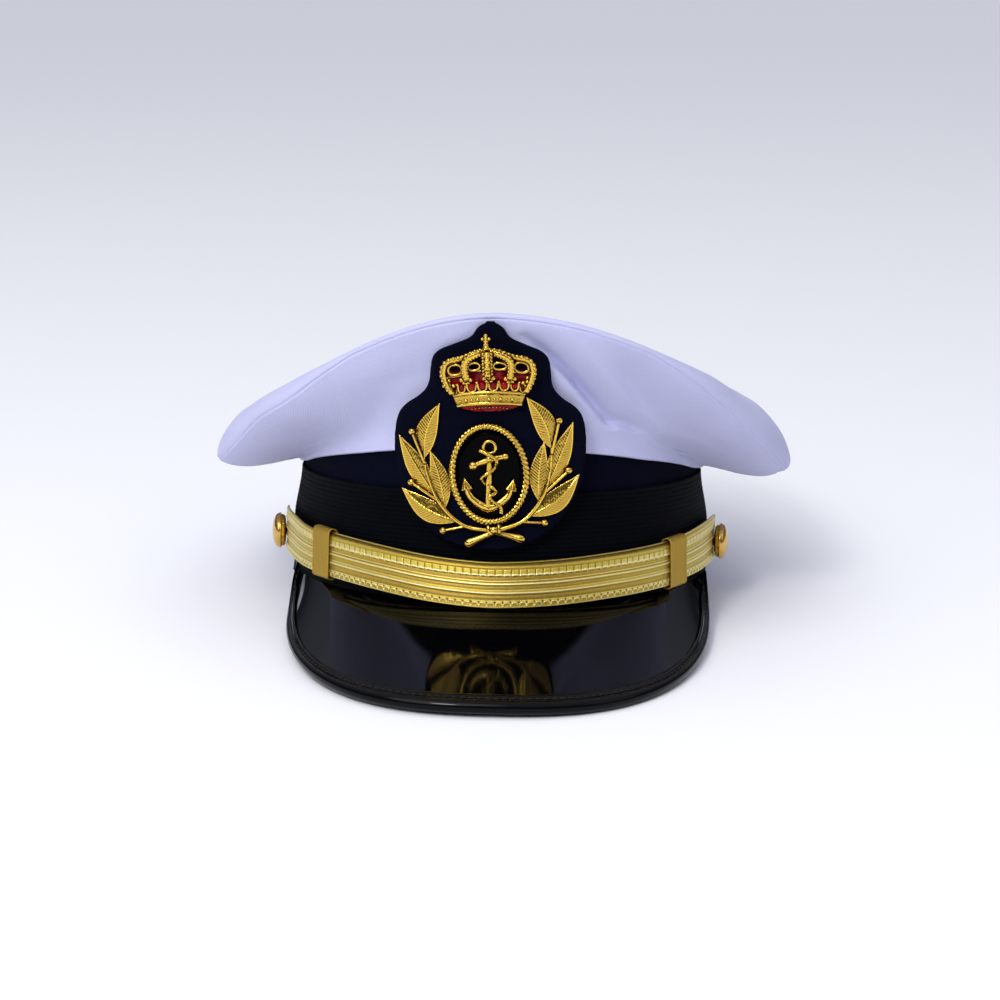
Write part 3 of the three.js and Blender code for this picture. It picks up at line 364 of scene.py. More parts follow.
def top_line(angle, rolls, domes):
    """The top panel's outer face at one angle, up its rolled rim and in over the dome."""
    rim = seam_outline(angle)
    height = top_height(rim.x, rim.y) - seam_height(angle)
    bulge, rise = ROLL_BULGE + FULL_BULGE * fullness(angle), FULL_RISE * fullness(angle)
    reach = (rim - RIM_CENTRE).length
    line = []
    for roll, dome in [(share, 1) for share in rolls] + [(1, share) for share in domes]:
        turn = roll * math.pi / 2
        inset = ROLL_REACH * height * (1 - math.cos(turn)) - bulge * height * math.sin(2 * turn)
        place = RIM_CENTRE.lerp(rim, (1 - inset / reach) * dome)
        place.z = top_height(place.x, place.y) - height * (1 - math.sin(turn)) + rise * math.sin(2 * turn)
        line.append(place)
    return line


def visor_rim(share):
    point = oval(share * 90, VISOR_HALF, VISOR_CORNER - VISOR_FRONT, VISOR_POWER)
    point += Vector((VISOR_X, VISOR_CORNER, 0))
    back = max((point.y - VISOR_FRONT) / VISOR_RISE_LENGTH, 0)
    corner = max(0, 1 - (VISOR_CORNER - point.y) / VISOR_LIFT_REACH)
    point.z = VISOR_FRONT_Z + VISOR_RISE * back ** VISOR_RISE_POWER
    point.z += VISOR_LIFT * corner * corner - VISOR_LEAN * point.x
    return point


def visor_point(share, reach):
    inner = band_point(share * VISOR_ANGLE, 0, -VISOR_INSET)
    inner.z = VISOR_INNER_Z
    rim = visor_rim(share)
    point = inner.lerp(rim, reach)
    point.z -= VISOR_HOLLOW * (inner.z - rim.z) * reach * (1 - reach)
    return point


def visor_shares(steps):
    """Places along the visor from corner to corner, closer together near the corners."""
    return [(even + math.sin(even * math.pi / 2)) / 2 for even in spread(-1, 1, steps + 1)]


def visor_width(share):
    return (visor_point(share, 1) - visor_point(share, 0)).length


def visor_normal(share, reach, step=0.004):
    a = visor_point(min(share + step, 1), reach) - visor_point(max(share - step, -1), reach)
    b = visor_point(share, reach + step) - visor_point(share, reach - step)
    normal = a.cross(b).normalized()
    return normal if normal.z > 0 else -normal


def strap_point(angle, outer, across, out):
    """A place on a strap length: across from -0.5 to 0.5 of its width, out from its back."""
    away = smoothstep(abs(angle), STRAP_DOUBLED, STRAP_SINGLE)
    wider = STRAP_FLARE * smoothstep(abs(angle), STRAP_FLARE_FROM, STRAP_SINGLE)
    offset = STRAP_OFFSET + STRAP_AWAY * away + ((STRAP_THICK + GAP) * (1 - away) if outer else 0)
    point = band_point(angle, 0, offset + out)
    point.z = read(STRAP_LINE, "left" if angle < 0 else "right", rounded(angle, *STRAP_SOFT))
    point.z += wider / 2 + across * (STRAP_WIDTH + wider)
    return point


def badge_point(point):
    """Lays a place of the flat badge, u across, v up and w out, on the cap's front."""
    u, v, w = point
    x, z = BADGE_X + u, BADGE_Z + v
    climb = clamp((z - BADGE_FROM_Z) / (BADGE_TO_Z - BADGE_FROM_Z), 0, 1.1)
    face = BADGE_LOW_Y + BADGE_LEAN * climb ** BADGE_POWER - x * x / BADGE_ACROSS
    return Vector((x, -face - w, z))


def turned(point, degrees, up=0):
    t = math.radians(degrees)
    u, v, w = point
    return Vector((u * math.cos(t) - v * math.sin(t), u * math.sin(t) + v * math.cos(t) + up, w))


def wreath_place(point):
    return badge_point(turned(point, WREATH_TURN))


def crown_place(point):
    return badge_point(turned(point, CROWN_TURN, CROWN_V))


def at_rest(point):
    """From the cap's own frame in millimetres to the shared frame in metres."""
    return (REST_TURN @ point + REST_PLACE) * MM


# Making closed meshes from rings of points
def normals(rings):
    """The outward direction at each point of rings that run round the cap."""
    count, last = len(rings[0]), len(rings) - 1
    found = []
    for j, ring in enumerate(rings):
        below, above = rings[max(j - 1, 0)], rings[min(j + 1, last)]
        found.append([(ring[(i + 1) % count] - ring[i - 1]).cross(above[i] - below[i]).normalized()
                      for i in range(count)])
    return found


def moved(rings, ways, amount):
    """Rings moved along their directions by an amount, or by a function of ring, place and point."""
    far = amount if callable(amount) else (lambda j, i, point: amount)
    return [[point + ways[j][i] * far(j, i, point) for i, point in enumerate(ring)]
            for j, ring in enumerate(rings)]


def transpose(lines):
    return [list(ring) for ring in zip(*lines)]


def oval_path(u, v, w, half, height, count):
    """A flat oval round a middle, anticlockwise from its right."""
    return [Vector((u + half * math.cos(t), v + height * math.sin(t), w)) for t in full_turn(count)]


def smooth_path(points, count):
    """A smooth curve through points, as count places."""
    points = [Vector(p) for p in points]
    path = []
    for share in spread(0, len(points) - 1, count):
        k = min(int(share), len(points) - 2)
        t = share - k
        a, b = points[k], points[k + 1]
        before = points[k - 1] if k else a * 2 - b
        after = points[k + 2] if k + 2 < len(points) else b * 2 - a
        path.append(0.5 * (2 * a + (b - before) * t + (2 * before - 5 * a + 4 * b - after) * t * t
                           + (3 * a - before - 3 * b + after) * t ** 3))
    return path


class Form:
    """Collects closed skins in millimetres and makes one object of them."""

    def __init__(self, place=lambda point: point):
        self.place = place
        self.points, self.tones, self.faces, self.uvs = [], [], [], []

    def skin(self, rings, closed=False, maps=None, tones=0.5):
        """Adds a skin through rings of points, where a ring of one point closes an end.

        maps lays the cloth's pattern, and the last argument is painted shading, a brightness that stands in
        for light and shade: one for all or a row for each ring.
        """
        if isinstance(tones, float):
            tones = [[tones] * len(ring) for ring in rings]
        starts = []
        for ring, row in zip(rings, tones):
            starts.append(len(self.points))
            self.points.extend(ring)
            self.tones.extend(row)
        widest = max(rings, key=len)
        count = len(widest)
        around, along = runs(widest, True), runs([ring[0] for ring in rings], True)

        def corner(j, i):
            row = j % len(rings)
            k = i % count if len(rings[row]) > 1 else 0
            uv = tuple(maps[row][k] * MM) if maps else (around[i] * MM, along[j] * MM)
            return starts[row] + k, uv

        for j in range(len(rings) if closed else len(rings) - 1):
            below_single, above_single = len(rings[j]) == 1, len(rings[(j + 1) % len(rings)]) == 1
            if below_single and above_single:
                continue
            for i in range(count):
                corners = [corner(j, i), corner(j, i + 1), corner(j + 1, i + 1), corner(j + 1, i)]
                if below_single:
                    corners.pop(1)
                if above_single:
                    corners.pop()
                self.faces.append([c[0] for c in corners])
                self.uvs.extend(c[1] for c in corners)

    def bar(self, rings, tones=0.5):
        """Adds a skin whose two end rings are each closed by a point in their middle."""
        ends = [[sum(ring, Vector()) / len(ring)] for ring in (rings[0], rings[-1])]
        self.skin([ends[0], *rings, ends[1]], tones=tones)

    def tube(self, path, radius, sides=8, closed=False, twist=None, flatten=1):
        """Adds a round wire along a path; radius may follow the share of its length."""
        thick = radius if callable(radius) else (lambda share: radius)
        around = path[-1:] + path + path[:1] if closed else path[:1] + path + path[-1:]
        ways = [(ahead - back).normalized() for back, ahead in zip(around, around[2:])]
        side = (UP.cross(ways[0]) if abs(ways[0].z) < 0.9 else ways[0].orthogonal()).normalized()
        rings = []
        for k, (point, way) in enumerate(zip(path, ways)):
            side = (side - way * side.dot(way)).normalized()
            up = way.cross(side)
            ring = []
            for t in full_turn(sides):
                r = thick(k / (len(path) - 1)) * (twist(k, t) if twist else 1)
                ring.append(point + side * (r * math.cos(t)) + up * (r * math.sin(t) * flatten))
            rings.append(ring)
        self.skin(rings if closed else [[path[0]], *rings, [path[-1]]], closed)

    def lathe(self, profile, place, sides):
        """Adds a turned shape: rows of radius and height, put in place by a function of x, y and height."""
        angles = full_turn(sides)
        self.skin([[place(r * math.cos(a), r * math.sin(a), y) for a in (angles if r else [0])]
                   for r, y in profile])

    def ball(self, centre, radius, sides=10, flatten=1):
        turns = spread(0, math.pi, sides // 2 + 1)[1:-1]
        profile = [(radius * math.sin(t), radius * math.cos(t) * flatten) for t in turns]
        top = radius * flatten
        self.lathe([(0, top), *profile, (0, -top)], lambda x, y, z: Vector(centre) + Vector((x, y, z)), sides)

    def piece(self, name, material, slot, *nodes):
        """Makes the object, and says what it rides on, replaces and is finished as."""
        mesh = bpy.data.meshes.new(name)
        mesh.from_pydata([at_rest(self.place(point)) for point in self.points], [], self.faces)
        layer = mesh.uv_layers.new(name="cloth")
        layer.data.foreach_set("uv", [value for uv in self.uvs for value in uv])
        # Painted shading: a brightness per point that stands in for light and shade, read for colour by the
        # braid, lace and gilt finishes, and by the gilt also for polish
        mesh.attributes.new("tone", "FLOAT", "POINT").data.foreach_set("value", self.tones)
        mesh.materials.append(material)
        work = bmesh.new()
        work.from_mesh(mesh)
        bmesh.ops.recalc_face_normals(work, faces=work.faces)
        work.to_mesh(mesh)
        work.free()
        mesh.shade_smooth()
        piece = bpy.data.objects.new(name, mesh)
        bpy.context.scene.collection.objects.link(piece)
        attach(piece, "root")
        if nodes:
            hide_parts(*nodes)


def sew(form, path, ways, pitch, radius, closed=False):
    """Lays a stitch at every pitch along a path, standing up along its ways."""
    far = runs(path, closed)
    k = 0
    for n in range(int(far[-1] / pitch)):
        centre = (n + 0.5) * pitch
        while far[k + 1] < centre:
            k += 1
        share = (centre - far[k]) / (far[k + 1] - far[k])
        a, b = path[k], path[(k + 1) % len(path)]
        ahead, up = (b - a).normalized(), ways[k]
        form.tube([a.lerp(b, share) + ahead * (q * 0.37 * pitch) + up * (radius * (0.5 - 1.2 * q * q))
                   for q in (-1, -0.6, 0, 0.6, 1)], lambda s: radius * (1 - 0.6 * (2 * s - 1) ** 4), 6)


def angles_round(count, closer=0.0):
    """Angles round the cap; closer draws them together at the front, up to 1."""
    even = [360 * i / count - 180 for i in range(count)]
    return [angle - closer * math.degrees(math.sin(math.radians(angle))) for angle in even]


# Finishes
def shaded(color, factor):
    return tuple(channel * factor for channel in color[:3])


def fill_ramp(ramp, stops):
    """Sets a colour ramp's stops, each a place and a colour."""
    while len(ramp.elements) < len(stops):
        ramp.elements.new(0.5)
    for element, (place, color) in zip(ramp.elements, stops):
        element.position = place
        element.color = (*color[:3], 1)


class Finish:
    """A material with short ways to add and join its nodes."""

    def __init__(self, name, **values):
        self.material = bpy.data.materials.new(name)
        self.material.use_nodes = True
        self.tree = self.material.node_tree
        self.shader = self.tree.nodes["Principled BSDF"]
        for key, value in values.items():
            self.shader.inputs[key.replace("_", " ")].default_value = value

    def node(self, kind, inputs, out=0, **settings):
        made = self.tree.nodes.new("ShaderNode" + kind)
        for key, value in settings.items():
            setattr(made, key, value)
        for key, value in inputs.items():
            if isinstance(value, bpy.types.NodeSocket):
                self.tree.links.new(value, made.inputs[key])
            else:
                made.inputs[key].default_value = value
        return made.outputs[out]

    def cloth(self):
        return self.node("UVMap", {}, uv_map="cloth")

    def solid(self):
        return self.node("TexCoord", {}, out="Object")

    # The painted shading kept on the mesh: brighter for painted highlights on crests and edges, darker for
    # painted shade in grooves and hollows
    def tone(self):
        return self.node("Attribute", {}, out="Fac", attribute_name="tone")

    def math(self, operation, a, b=0.0, c=0.0):
        return self.node("Math", {0: a, 1: b, 2: c}, operation=operation)

    def noise(self, place, scale, detail=3.0, roughness=0.55):
        inputs = {"Vector": place, "Scale": scale, "Detail": detail, "Roughness": roughness}
        return self.node("TexNoise", inputs)

    def hollow_shade(self, reach):
        """How open a place is to the air, less in hollows; multiplied into a colour it paints shade into the
        hollows.
        """
        return self.node("AmbientOcclusion", {"Distance": reach}, out="AO", samples=6)

    def waves(self, place, pitch, turn=0.0):
        """Even ridges of a pitch in metres across a mapped place, turned by an angle in degrees."""
        mapped = self.node("Mapping", {"Vector": place, "Rotation": (0, 0, math.radians(turn))})
        split = self.node("SeparateXYZ", {"Vector": mapped})
        wave = self.math("SINE", self.math("MULTIPLY", split, 2 * math.pi / pitch))
        return self.math("MULTIPLY_ADD", wave, 0.5, 0.5)

    def ramp(self, factor, *stops):
        made = self.tree.nodes.new("ShaderNodeValToRGB")
        self.tree.links.new(factor, made.inputs["Fac"])
        fill_ramp(made.color_ramp, stops)
        return made.outputs["Color"]

    def shades(self, factor, color, *stops):
        """A ramp through darker and lighter shades of one colour."""
        return self.ramp(factor, *((place, shaded(color, share)) for place, share in stops))

    def bump(self, height, distance, strength=1.0, under=None):
        inputs = {"Height": height, "Distance": distance, "Strength": strength}
        if under is not None:
            inputs["Normal"] = under
        return self.node("Bump", inputs)

    def use(self, **sockets):
        for key, socket in sockets.items():
            self.tree.links.new(socket, self.shader.inputs[key.replace("_", " ")])
        return self.material


def cotton_finish(name, color, pitch):
    """White cotton twill: fine diagonal ridges, faint crumpling and a soft sheen."""
    finish = Finish(name, Roughness=0.85, Sheen_Weight=0.08, Sheen_Roughness=0.5, Specular_IOR_Level=0.15)
    cloth, solid = finish.cloth(), finish.solid()
    twill = finish.waves(cloth, pitch, 38)
    threads = finish.waves(cloth, pitch * 0.62, -52)
    weave = finish.math("MULTIPLY_ADD", threads, 0.35, twill)
    cloud = finish.noise(solid, 38.0)
    speck = finish.noise(solid, 1400.0, 2.0)
    mottle = finish.math("MULTIPLY_ADD", speck, 0.5, finish.math("MULTIPLY", cloud, 0.5))
    hue = finish.shades(mottle, color, (0.25, 0.93), (0.75, 1))
    ridge = finish.ramp(weave, (0.0, (0.9, 0.9, 0.92)), (1.0, (1, 1, 1)))
    blend = finish.node("Mix", {0: 1.0, 6: hue, 7: ridge}, out=2, data_type="RGBA", blend_type="MULTIPLY")
    crumple = finish.bump(finish.noise(solid, 55.0, 4.0), 0.0008, 0.5)
    return finish.use(Base_Color=blend, Normal=finish.bump(weave, 0.00012, 0.7, crumple))


def wool_finish(name, color, pitch):
    """Dark woollen cloth or felt: a matt nap of fine fibres."""
    finish = Finish(name, Roughness=1.0, Specular_IOR_Level=0.04)
    fibres = finish.noise(finish.solid(), 1 / pitch, 5.0, 0.7)
    hue = finish.shades(fibres, color, (0.3, 0.6), (0.72, 1.5))
    return finish.use(Base_Color=hue, Normal=finish.bump(fibres, 0.0003, 0.6))


def braid_finish(name, color):
    """Ribbed mohair braid: fine upright threads over its modelled ribs, with painted highlight on the ribs
    and painted shade between them.
    """
    finish = Finish(name, Roughness=0.7, Specular_IOR_Level=0.035)
    threads = finish.waves(finish.cloth(), 0.00055)
    cross = finish.waves(finish.cloth(), 0.0004, 90)
    grain = finish.noise(finish.solid(), 900.0, 3.0)
    # Painted light: the painted shading brightens the ribs' crests and darkens the grooves, mixed with a fine
    # grain
    level = finish.math("MULTIPLY_ADD", finish.tone(), 0.6, finish.math("MULTIPLY", grain, 0.4))
    hue = finish.shades(level, color, (0.15, 0.45), (0.9, 1.7))
    height = finish.math("MULTIPLY_ADD", cross, 0.4, threads)
    return finish.use(Base_Color=hue, Normal=finish.bump(height, 0.00012, 0.8))


def patent_finish(name, color, roughness, gloss=0.5):
    """Black patent leather or enamel: a clear gloss over a barely uneven surface."""
    finish = Finish(name, Roughness=roughness, IOR=1.26, Specular_IOR_Level=gloss)
    solid = finish.solid()
    ripple = finish.noise(solid, 60.0, 1.0)
    hue = finish.shades(finish.noise(solid, 500.0), color, (0.3, 0.7), (0.7, 1))
    return finish.use(Base_Color=hue, Normal=finish.bump(ripple, 0.0004, 0.15))


def lining_finish(name, color):
    """Matt embossed underside of the visor."""
    finish = Finish(name, Roughness=0.6, Specular_IOR_Level=0.35)
    grain = finish.noise(finish.solid(), 900.0, 4.0)
    hue = finish.shades(grain, color, (0.3, 0.7), (0.7, 1.3))
    return finish.use(Base_Color=hue, Normal=finish.bump(grain, 0.0002, 0.7))


def lace_finish(name, ridge, ground, valley_shade, pitch):
    """Woven metal lace: fine threads, with a painted highlight colour on the bright ridges and a browner
    painted shade colour in the valleys, chosen by the painted shading.
    """
    finish = Finish(name, Metallic=0.75, Roughness=0.36, Specular_IOR_Level=0.5)
    threads = finish.waves(finish.cloth(), pitch)
    slant = finish.waves(finish.cloth(), pitch * 1.7, 55)
    speck = finish.noise(finish.solid(), 1500.0, 2.0)
    level = finish.math("MULTIPLY_ADD", speck, 0.3, finish.math("SUBTRACT", finish.tone(), 0.15))
    hue = finish.ramp(level, (0.1, shaded(valley_shade, 0.3)), (0.35, valley_shade), (0.6, ground), (0.85, ridge))
    height = finish.math("MULTIPLY_ADD", slant, 0.6, threads)
    rough = finish.math("MULTIPLY_ADD", speck, 0.25, 0.24)
    return finish.use(Base_Color=hue, Roughness=rough, Normal=finish.bump(height, 0.00008, 0.7))


def gilt_finish(name, color, roughness):
    """Stamped gilt metal with a fine hammered grain: painted shade darkens its hollows, and painted
    highlights brighten its raised edges, which are also polished smoother.
    """
    finish = Finish(name, Metallic=1.0, Roughness=roughness)
    solid = finish.solid()
    grain = finish.noise(solid, 1100.0, 3.0)
    tone = finish.tone()
    # Painted light: the colour is brightened by the painted shading on edges and ribs and darkened by painted
    # shade in the hollows
    level = finish.math("MULTIPLY", finish.math("MULTIPLY_ADD", tone, 1.1, 0.25), finish.hollow_shade(0.0016))
    foil = finish.bump(finish.noise(solid, 520.0, 2.0), 0.0004, 0.45)
    hue = finish.shades(level, color, (0.2, 0.04), (0.65, 0.5), (0.9, 1))
    rough = finish.math("MULTIPLY_ADD", grain, 0.12, finish.math("MULTIPLY_ADD", tone, -0.5, roughness + 0.2))
    rough = finish.math("MAXIMUM", rough, 0.07)
    return finish.use(Base_Color=hue, Roughness=rough, Normal=finish.bump(grain, 0.00006, 0.5, foil))


def enamel_finish(name, color):
    """Glassy enamel with an uneven flow of colour, and painted shade darkening it in its hollows."""
    finish = Finish(name, Roughness=0.16, Specular_IOR_Level=0.2)
    flow = finish.noise(finish.solid(), 260.0, 1.0)
    # Painted shade: the colour darkens where the enamel lies in hollows
    level = finish.math("MULTIPLY", flow, finish.hollow_shade(0.0015))
    hue = finish.shades(level, color, (0.1, 0.2), (0.6, 1.3))
    return finish.use(Base_Color=hue, Normal=finish.bump(flow, 0.0004, 0.4))


def floor_finish(name, color):
    finish = Finish(name, Roughness=0.9, Specular_IOR_Level=0.1)
    fine = finish.noise(finish.solid(), 30.0)
    return finish.use(Base_Color=finish.shades(fine, color, (0.0, 0.995), (1.0, 1)))


# What a user would change
def color_property(name, description, default):
    return FloatVectorProperty(name=name, description=description, default=default, subtype="COLOR", size=3,
                               min=0, max=1)


def length_property(name, description, default):
    return FloatProperty(name=name, description=description, default=default, unit="LENGTH", precision=5,
                         min=0.00001)


def power_property(name, description, default):
    return FloatProperty(name=name, description=description, default=default, unit="POWER", min=0)


class CapCoverSettings(bpy.types.PropertyGroup):
    color: color_property("Cover colour", "Colour of the cotton cover", (0.6, 0.605, 0.86))
    twill: length_property("Twill pitch", "Distance between the cover's diagonal ridges", 0.0006)
    seam: length_property("Seam depth", "How deep the sewn seam lies", 0.00038)
    crumple: length_property("Crumpling", "How far the cotton ripples", 0.0003)


class CapBodySettings(bpy.types.PropertyGroup):
    cloth: color_property("Cloth colour", "Colour of the woollen body and of the badge's felt",
                          (0.002, 0.0025, 0.0085))
    braid: color_property("Band colour", "Colour of the ribbed band", (0.0009, 0.0012, 0.0024))
    rib: length_property("Rib pitch", "Distance between the band's ribs", 0.00168)
    rib_depth: length_property("Rib depth", "How far each rib stands out", 0.00032)


class CapVisorSettings(bpy.types.PropertyGroup):
    color: color_property("Patent colour", "Colour of the patent leather", (0.0008, 0.0009, 0.0014))
    lining: color_property("Underside colour", "Colour of the visor's underside", (0.008, 0.009, 0.009))
    stitch: length_property("Stitch length", "Length of the binding's stitches", 0.0029)


class CapStrapSettings(bpy.types.PropertyGroup):
    # The lace's ridge colour is a painted highlight and its shadow colour painted shade between the ridges;
    # its ground is the lace's own colour
    ridge: color_property("Lace colour", "Colour of the lace's raised ridges", (1.0, 0.88, 0.42))
    ground: color_property("Lace ground", "Colour of the lace's flat weave", (0.66, 0.52, 0.07))
    valley_shade: color_property("Lace shadow", "Colour of the lace between its ridges", (0.52, 0.34, 0.05))
    button: color_property("Button colour", "Colour of the buttons' brass", (0.85, 0.52, 0.14))
    slide: color_property("Slide colour", "Colour of the slides", (0.64, 0.4, 0.035))
    ladder: length_property("Ladder pitch", "Length of one figure in the lace's two patterned rows", 0.0029)


class CapBadgeSettings(bpy.types.PropertyGroup):
    gold: color_property("Gilt colour", "Colour of the badge's metal", (1.0, 0.64, 0.1))
    enamel: color_property("Enamel colour", "Colour of the crown's enamel", (0.26, 0.001, 0.006))
    rope: FloatProperty(name="Rope turns", description="Turns of the rope ring's strands", default=62, min=10)


class CapStageSettings(bpy.types.PropertyGroup):
    floor: color_property("Floor colour", "Colour of the floor", (0.93, 0.935, 0.95))
    key: power_property("Key light", "Power of the main light", 36.5)
    fill: power_property("Fill light", "Power of the side light", 4)
    spark: power_property("Spark light", "Power of the small light that makes metal sparkle", 6)
    sky: FloatProperty(name="Sky", description="Strength of the surrounding light", default=1.0, min=0)


# Cover: steps round it, how much coarser its inner skin is, its ripples and how far they fade from hem and
# seam, the seam's dip, puckers and stitches, and the steps up its side
COVER_ROUND, INNER_EVERY, RIPPLE_BROAD, RIPPLE_FINE, RIPPLE_FINE_SHARE = 432, 3, 34, 11, 0.35
HEM_ROUND, HEM_FADE, SEAM_FADE, TOP_FADE, TOP_CRUMPLE = 0.45, 8, 5, 14, 1.8
SEAM_HALF, PUCKER_SHARE, PUCKER_REACH = 0.42, 0.14, 3
SEAM_TO_STITCH, SEAM_STITCH, SEAM_THREAD = 1.3, 2.4, 0.12
SIDE_SHARES = [0.0, 0.002, *(0.008 + 0.97 * s ** 0.92 for s in spread(0, 1, 95)),
               0.983, 0.987, 0.9905, 0.9935, 0.996, 0.998, 1.0]


def crumpling(point, amount):
    """A soft uneven ripple of cloth at a point, in millimetres."""
    broad = noise.noise(point / RIPPLE_BROAD)
    fine = noise.noise(point / RIPPLE_FINE + Vector((7, 3, 1)))
    return amount * (broad + RIPPLE_FINE_SHARE * fine)


def seam_dip(distance, angle, depth):
    """How far cloth dips beside a sewn seam, with small puckers."""
    pucker = 0.5 + 0.5 * noise.noise(Vector((angle * 0.9, distance / 9, 4)))
    beside = PUCKER_SHARE * pucker * math.exp(-distance / PUCKER_REACH)
    return depth * (math.exp(-(distance / SEAM_HALF) ** 2) + beside)


def sew_seam(name, outer, ways, away, cotton):
    """Sews a row of stitches all round a panel, beside its seam; away is each ring's distance from that."""
    row = min(range(len(away)), key=lambda j: abs(away[j] - SEAM_TO_STITCH))
    thread = Form()
    sew(thread, outer[row], ways[row], SEAM_STITCH, SEAM_THREAD, closed=True)
    thread.piece(name, cotton, "cover")


class CAP_OT_cover_side(bpy.types.Operator):
    """Builds the cover's side panel, from its hem up to the seam of the top"""
    bl_idname = "cap.cover_side"
    bl_label = "Cover Side"

    def execute(self, context):
        settings = context.scene.cap_cover
        angles = angles_round(COVER_ROUND, 0.5)
        face = transpose([side_line(angle, SIDE_SHARES) for angle in angles])
        ways = normals(face)
        lengths = runs([ring[COVER_ROUND // 2] for ring in face])
        away = [lengths[-1] - length for length in lengths]

        def relief(j, i, point):
            fade = clamp(lengths[j] / HEM_FADE) * clamp(away[j] / SEAM_FADE)
            ripple = crumpling(point, settings.crumple / MM) * fade
            return ripple - seam_dip(away[j], angles[i], settings.seam / MM)

        outer = moved(face, ways, relief)
        inner = moved(face, ways, -COVER_WALL)
        inner = inner[:-1:INNER_EVERY] + inner[-1:]
        hem = [(a + b) / 2 - UP * HEM_ROUND for a, b in zip(outer[0], inner[0])]
        form = Form()
        form.skin(outer + inner[::-1] + [hem], closed=True)
        cotton = cotton_finish("white cotton side", settings.color, settings.twill)
        form.piece("cover_side_panel", cotton, "cover", "cover_side")
        sew_seam("cover_side_stitches", outer, ways, away, cotton)
        return {"FINISHED"}


class CAP_OT_cover_top(bpy.types.Operator):
    """Builds the cover's top panel, rolled over the stiffened rim and domed in the middle"""
    bl_idname = "cap.cover_top"
    bl_label = "Cover Top"

    def laid_flat(self, face, middle):
        """Where each point lies in the cloth, by its distance over the surface from the middle."""
        laid = []
        for line in transpose(face):
            far = runs([middle, *line[::-1]])[:0:-1]
            laid.append([(point - middle).xy.normalized() * f for point, f in zip(line, far)])
        return transpose(laid)

    def execute(self, context):
        settings = context.scene.cap_cover
        angles = angles_round(COVER_ROUND)
        rolls = [0, 0.004, 0.012, 0.025, 0.04] + spread(0.06, 1, 18)
        domes = [1 - 0.97 * s ** 1.15 for s in spread(0, 1, 35)[1:]]
        face = transpose([top_line(angle, rolls, domes) for angle in angles])
        ways = normals(face)

        def relief(j, i, point):
            distance = (point - face[0][i]).length
            ripple = crumpling(point + Vector((40, 0, 0)), TOP_CRUMPLE * settings.crumple / MM)
            return ripple * clamp(distance / TOP_FADE) - seam_dip(distance, angles[i], settings.seam / MM)

        outer = moved(face, ways, relief)
        inner = moved(face, ways, -COVER_WALL)[::INNER_EVERY]
        middle = RIM_CENTRE + UP * top_height(RIM_CENTRE.x, RIM_CENTRE.y)
        poles = [[middle], [middle - UP * COVER_WALL]]
        laid = self.laid_flat(face, middle)
        pole = [[Vector((0, 0))]]
        form = Form()
        maps = laid + pole + pole + laid[::INNER_EVERY][::-1]
        form.skin(outer + poles + inner[::-1], closed=True, maps=maps)
        cotton = cotton_finish("white cotton top", settings.color, settings.twill)
        form.piece("cover_top_panel", cotton, "cover", "cover_top")
        sew_seam("cover_top_stitches", outer, ways, [(ring[0] - face[0][0]).length for ring in face], cotton)
        return {"FINISHED"}


# Body and band: steps round them, the body's rounded lip, and steps up each rib
BODY_ROUND, BODY_LIP, BAND_ROUND, RIB_STEPS = 180, 0.6, 224, 5


class CAP_OT_body(bpy.types.Operator):
    """Builds the dark woollen body under the cover"""
    bl_idname = "cap.body"
    bl_label = "Cloth Body"

    def execute(self, context):
        settings = context.scene.cap_body
        shares = spread(0, 1, 22)
        outer = [self.ring(share, -BAND_WALL - GAP) for share in shares]
        inner = [self.ring(share, -BAND_WALL - GAP - BODY_WALL) for share in shares[::INNER_EVERY]]
        lip = [(p + q) / 2 + UP * BODY_LIP for p, q in zip(outer[-1], inner[-1])]
        form = Form()
        form.skin(outer + [lip] + inner[::-1], closed=True)
        form.piece("cloth_body", wool_finish("navy wool", settings.cloth, 0.0007), "cloth", "body_cloth")
        return {"FINISHED"}

    def ring(self, share, offset):
        """A ring round the body at a share of its height, which follows the cover's edge."""
        return [band_point(a, share * (cover_edge(a) + BODY_ABOVE), offset) for a in angles_round(BODY_ROUND)]


class CAP_OT_band(bpy.types.Operator):
    """Builds the ribbed band round the body"""
    bl_idname = "cap.band"
    bl_label = "Ribbed Band"

    def execute(self, context):
        settings = context.scene.cap_body
        count = round(BAND_HEIGHT / (settings.rib / MM)) * RIB_STEPS
        depth = settings.rib_depth / MM
        angles = angles_round(BAND_ROUND)
        profile = []
        for k in range(count + 1):
            swell = abs(math.sin(math.pi * k / RIB_STEPS))
            # Each rib's swell is kept as painted shading: a painted highlight on its crest and painted shade
            # in the groove
            profile.append((BAND_HEIGHT * k / count, depth * (swell ** 0.6 - 1), swell))
        back = [(z, -BAND_WALL, 0.5) for z in (BAND_HEIGHT - 0.2, BAND_HEIGHT / 2, 0.2)]
        rings, tones = [], []
        for z, offset, tone in profile + back:
            rings.append([band_point(a, z, offset) for a in angles])
            tones.append([tone] * len(angles))
        form = Form()
        form.skin(rings, closed=True, tones=tones)
        form.piece("ribbed_braid_band", braid_finish("black braid", settings.braid), "band", "ribbed_band")
        return {"FINISHED"}


# Visor
def visor_mark(share, back, up):
    """A place on the visor, a distance in from its rim and up from its face."""
    if back >= 0:
        reach = 1 - min(back / visor_width(share), 0.9)
        return visor_point(share, reach) + visor_normal(share, min(reach, 0.99)) * up
    out = (visor_point(share, 1) - visor_point(share, 0.95)).normalized()
    return visor_point(share, 1) - out * back + visor_normal(share, 0.99) * up


# The visor's glossy upper layer, and the gap to its underside
VISOR_FACE, VISOR_LAYER_GAP = 0.9, 0.02
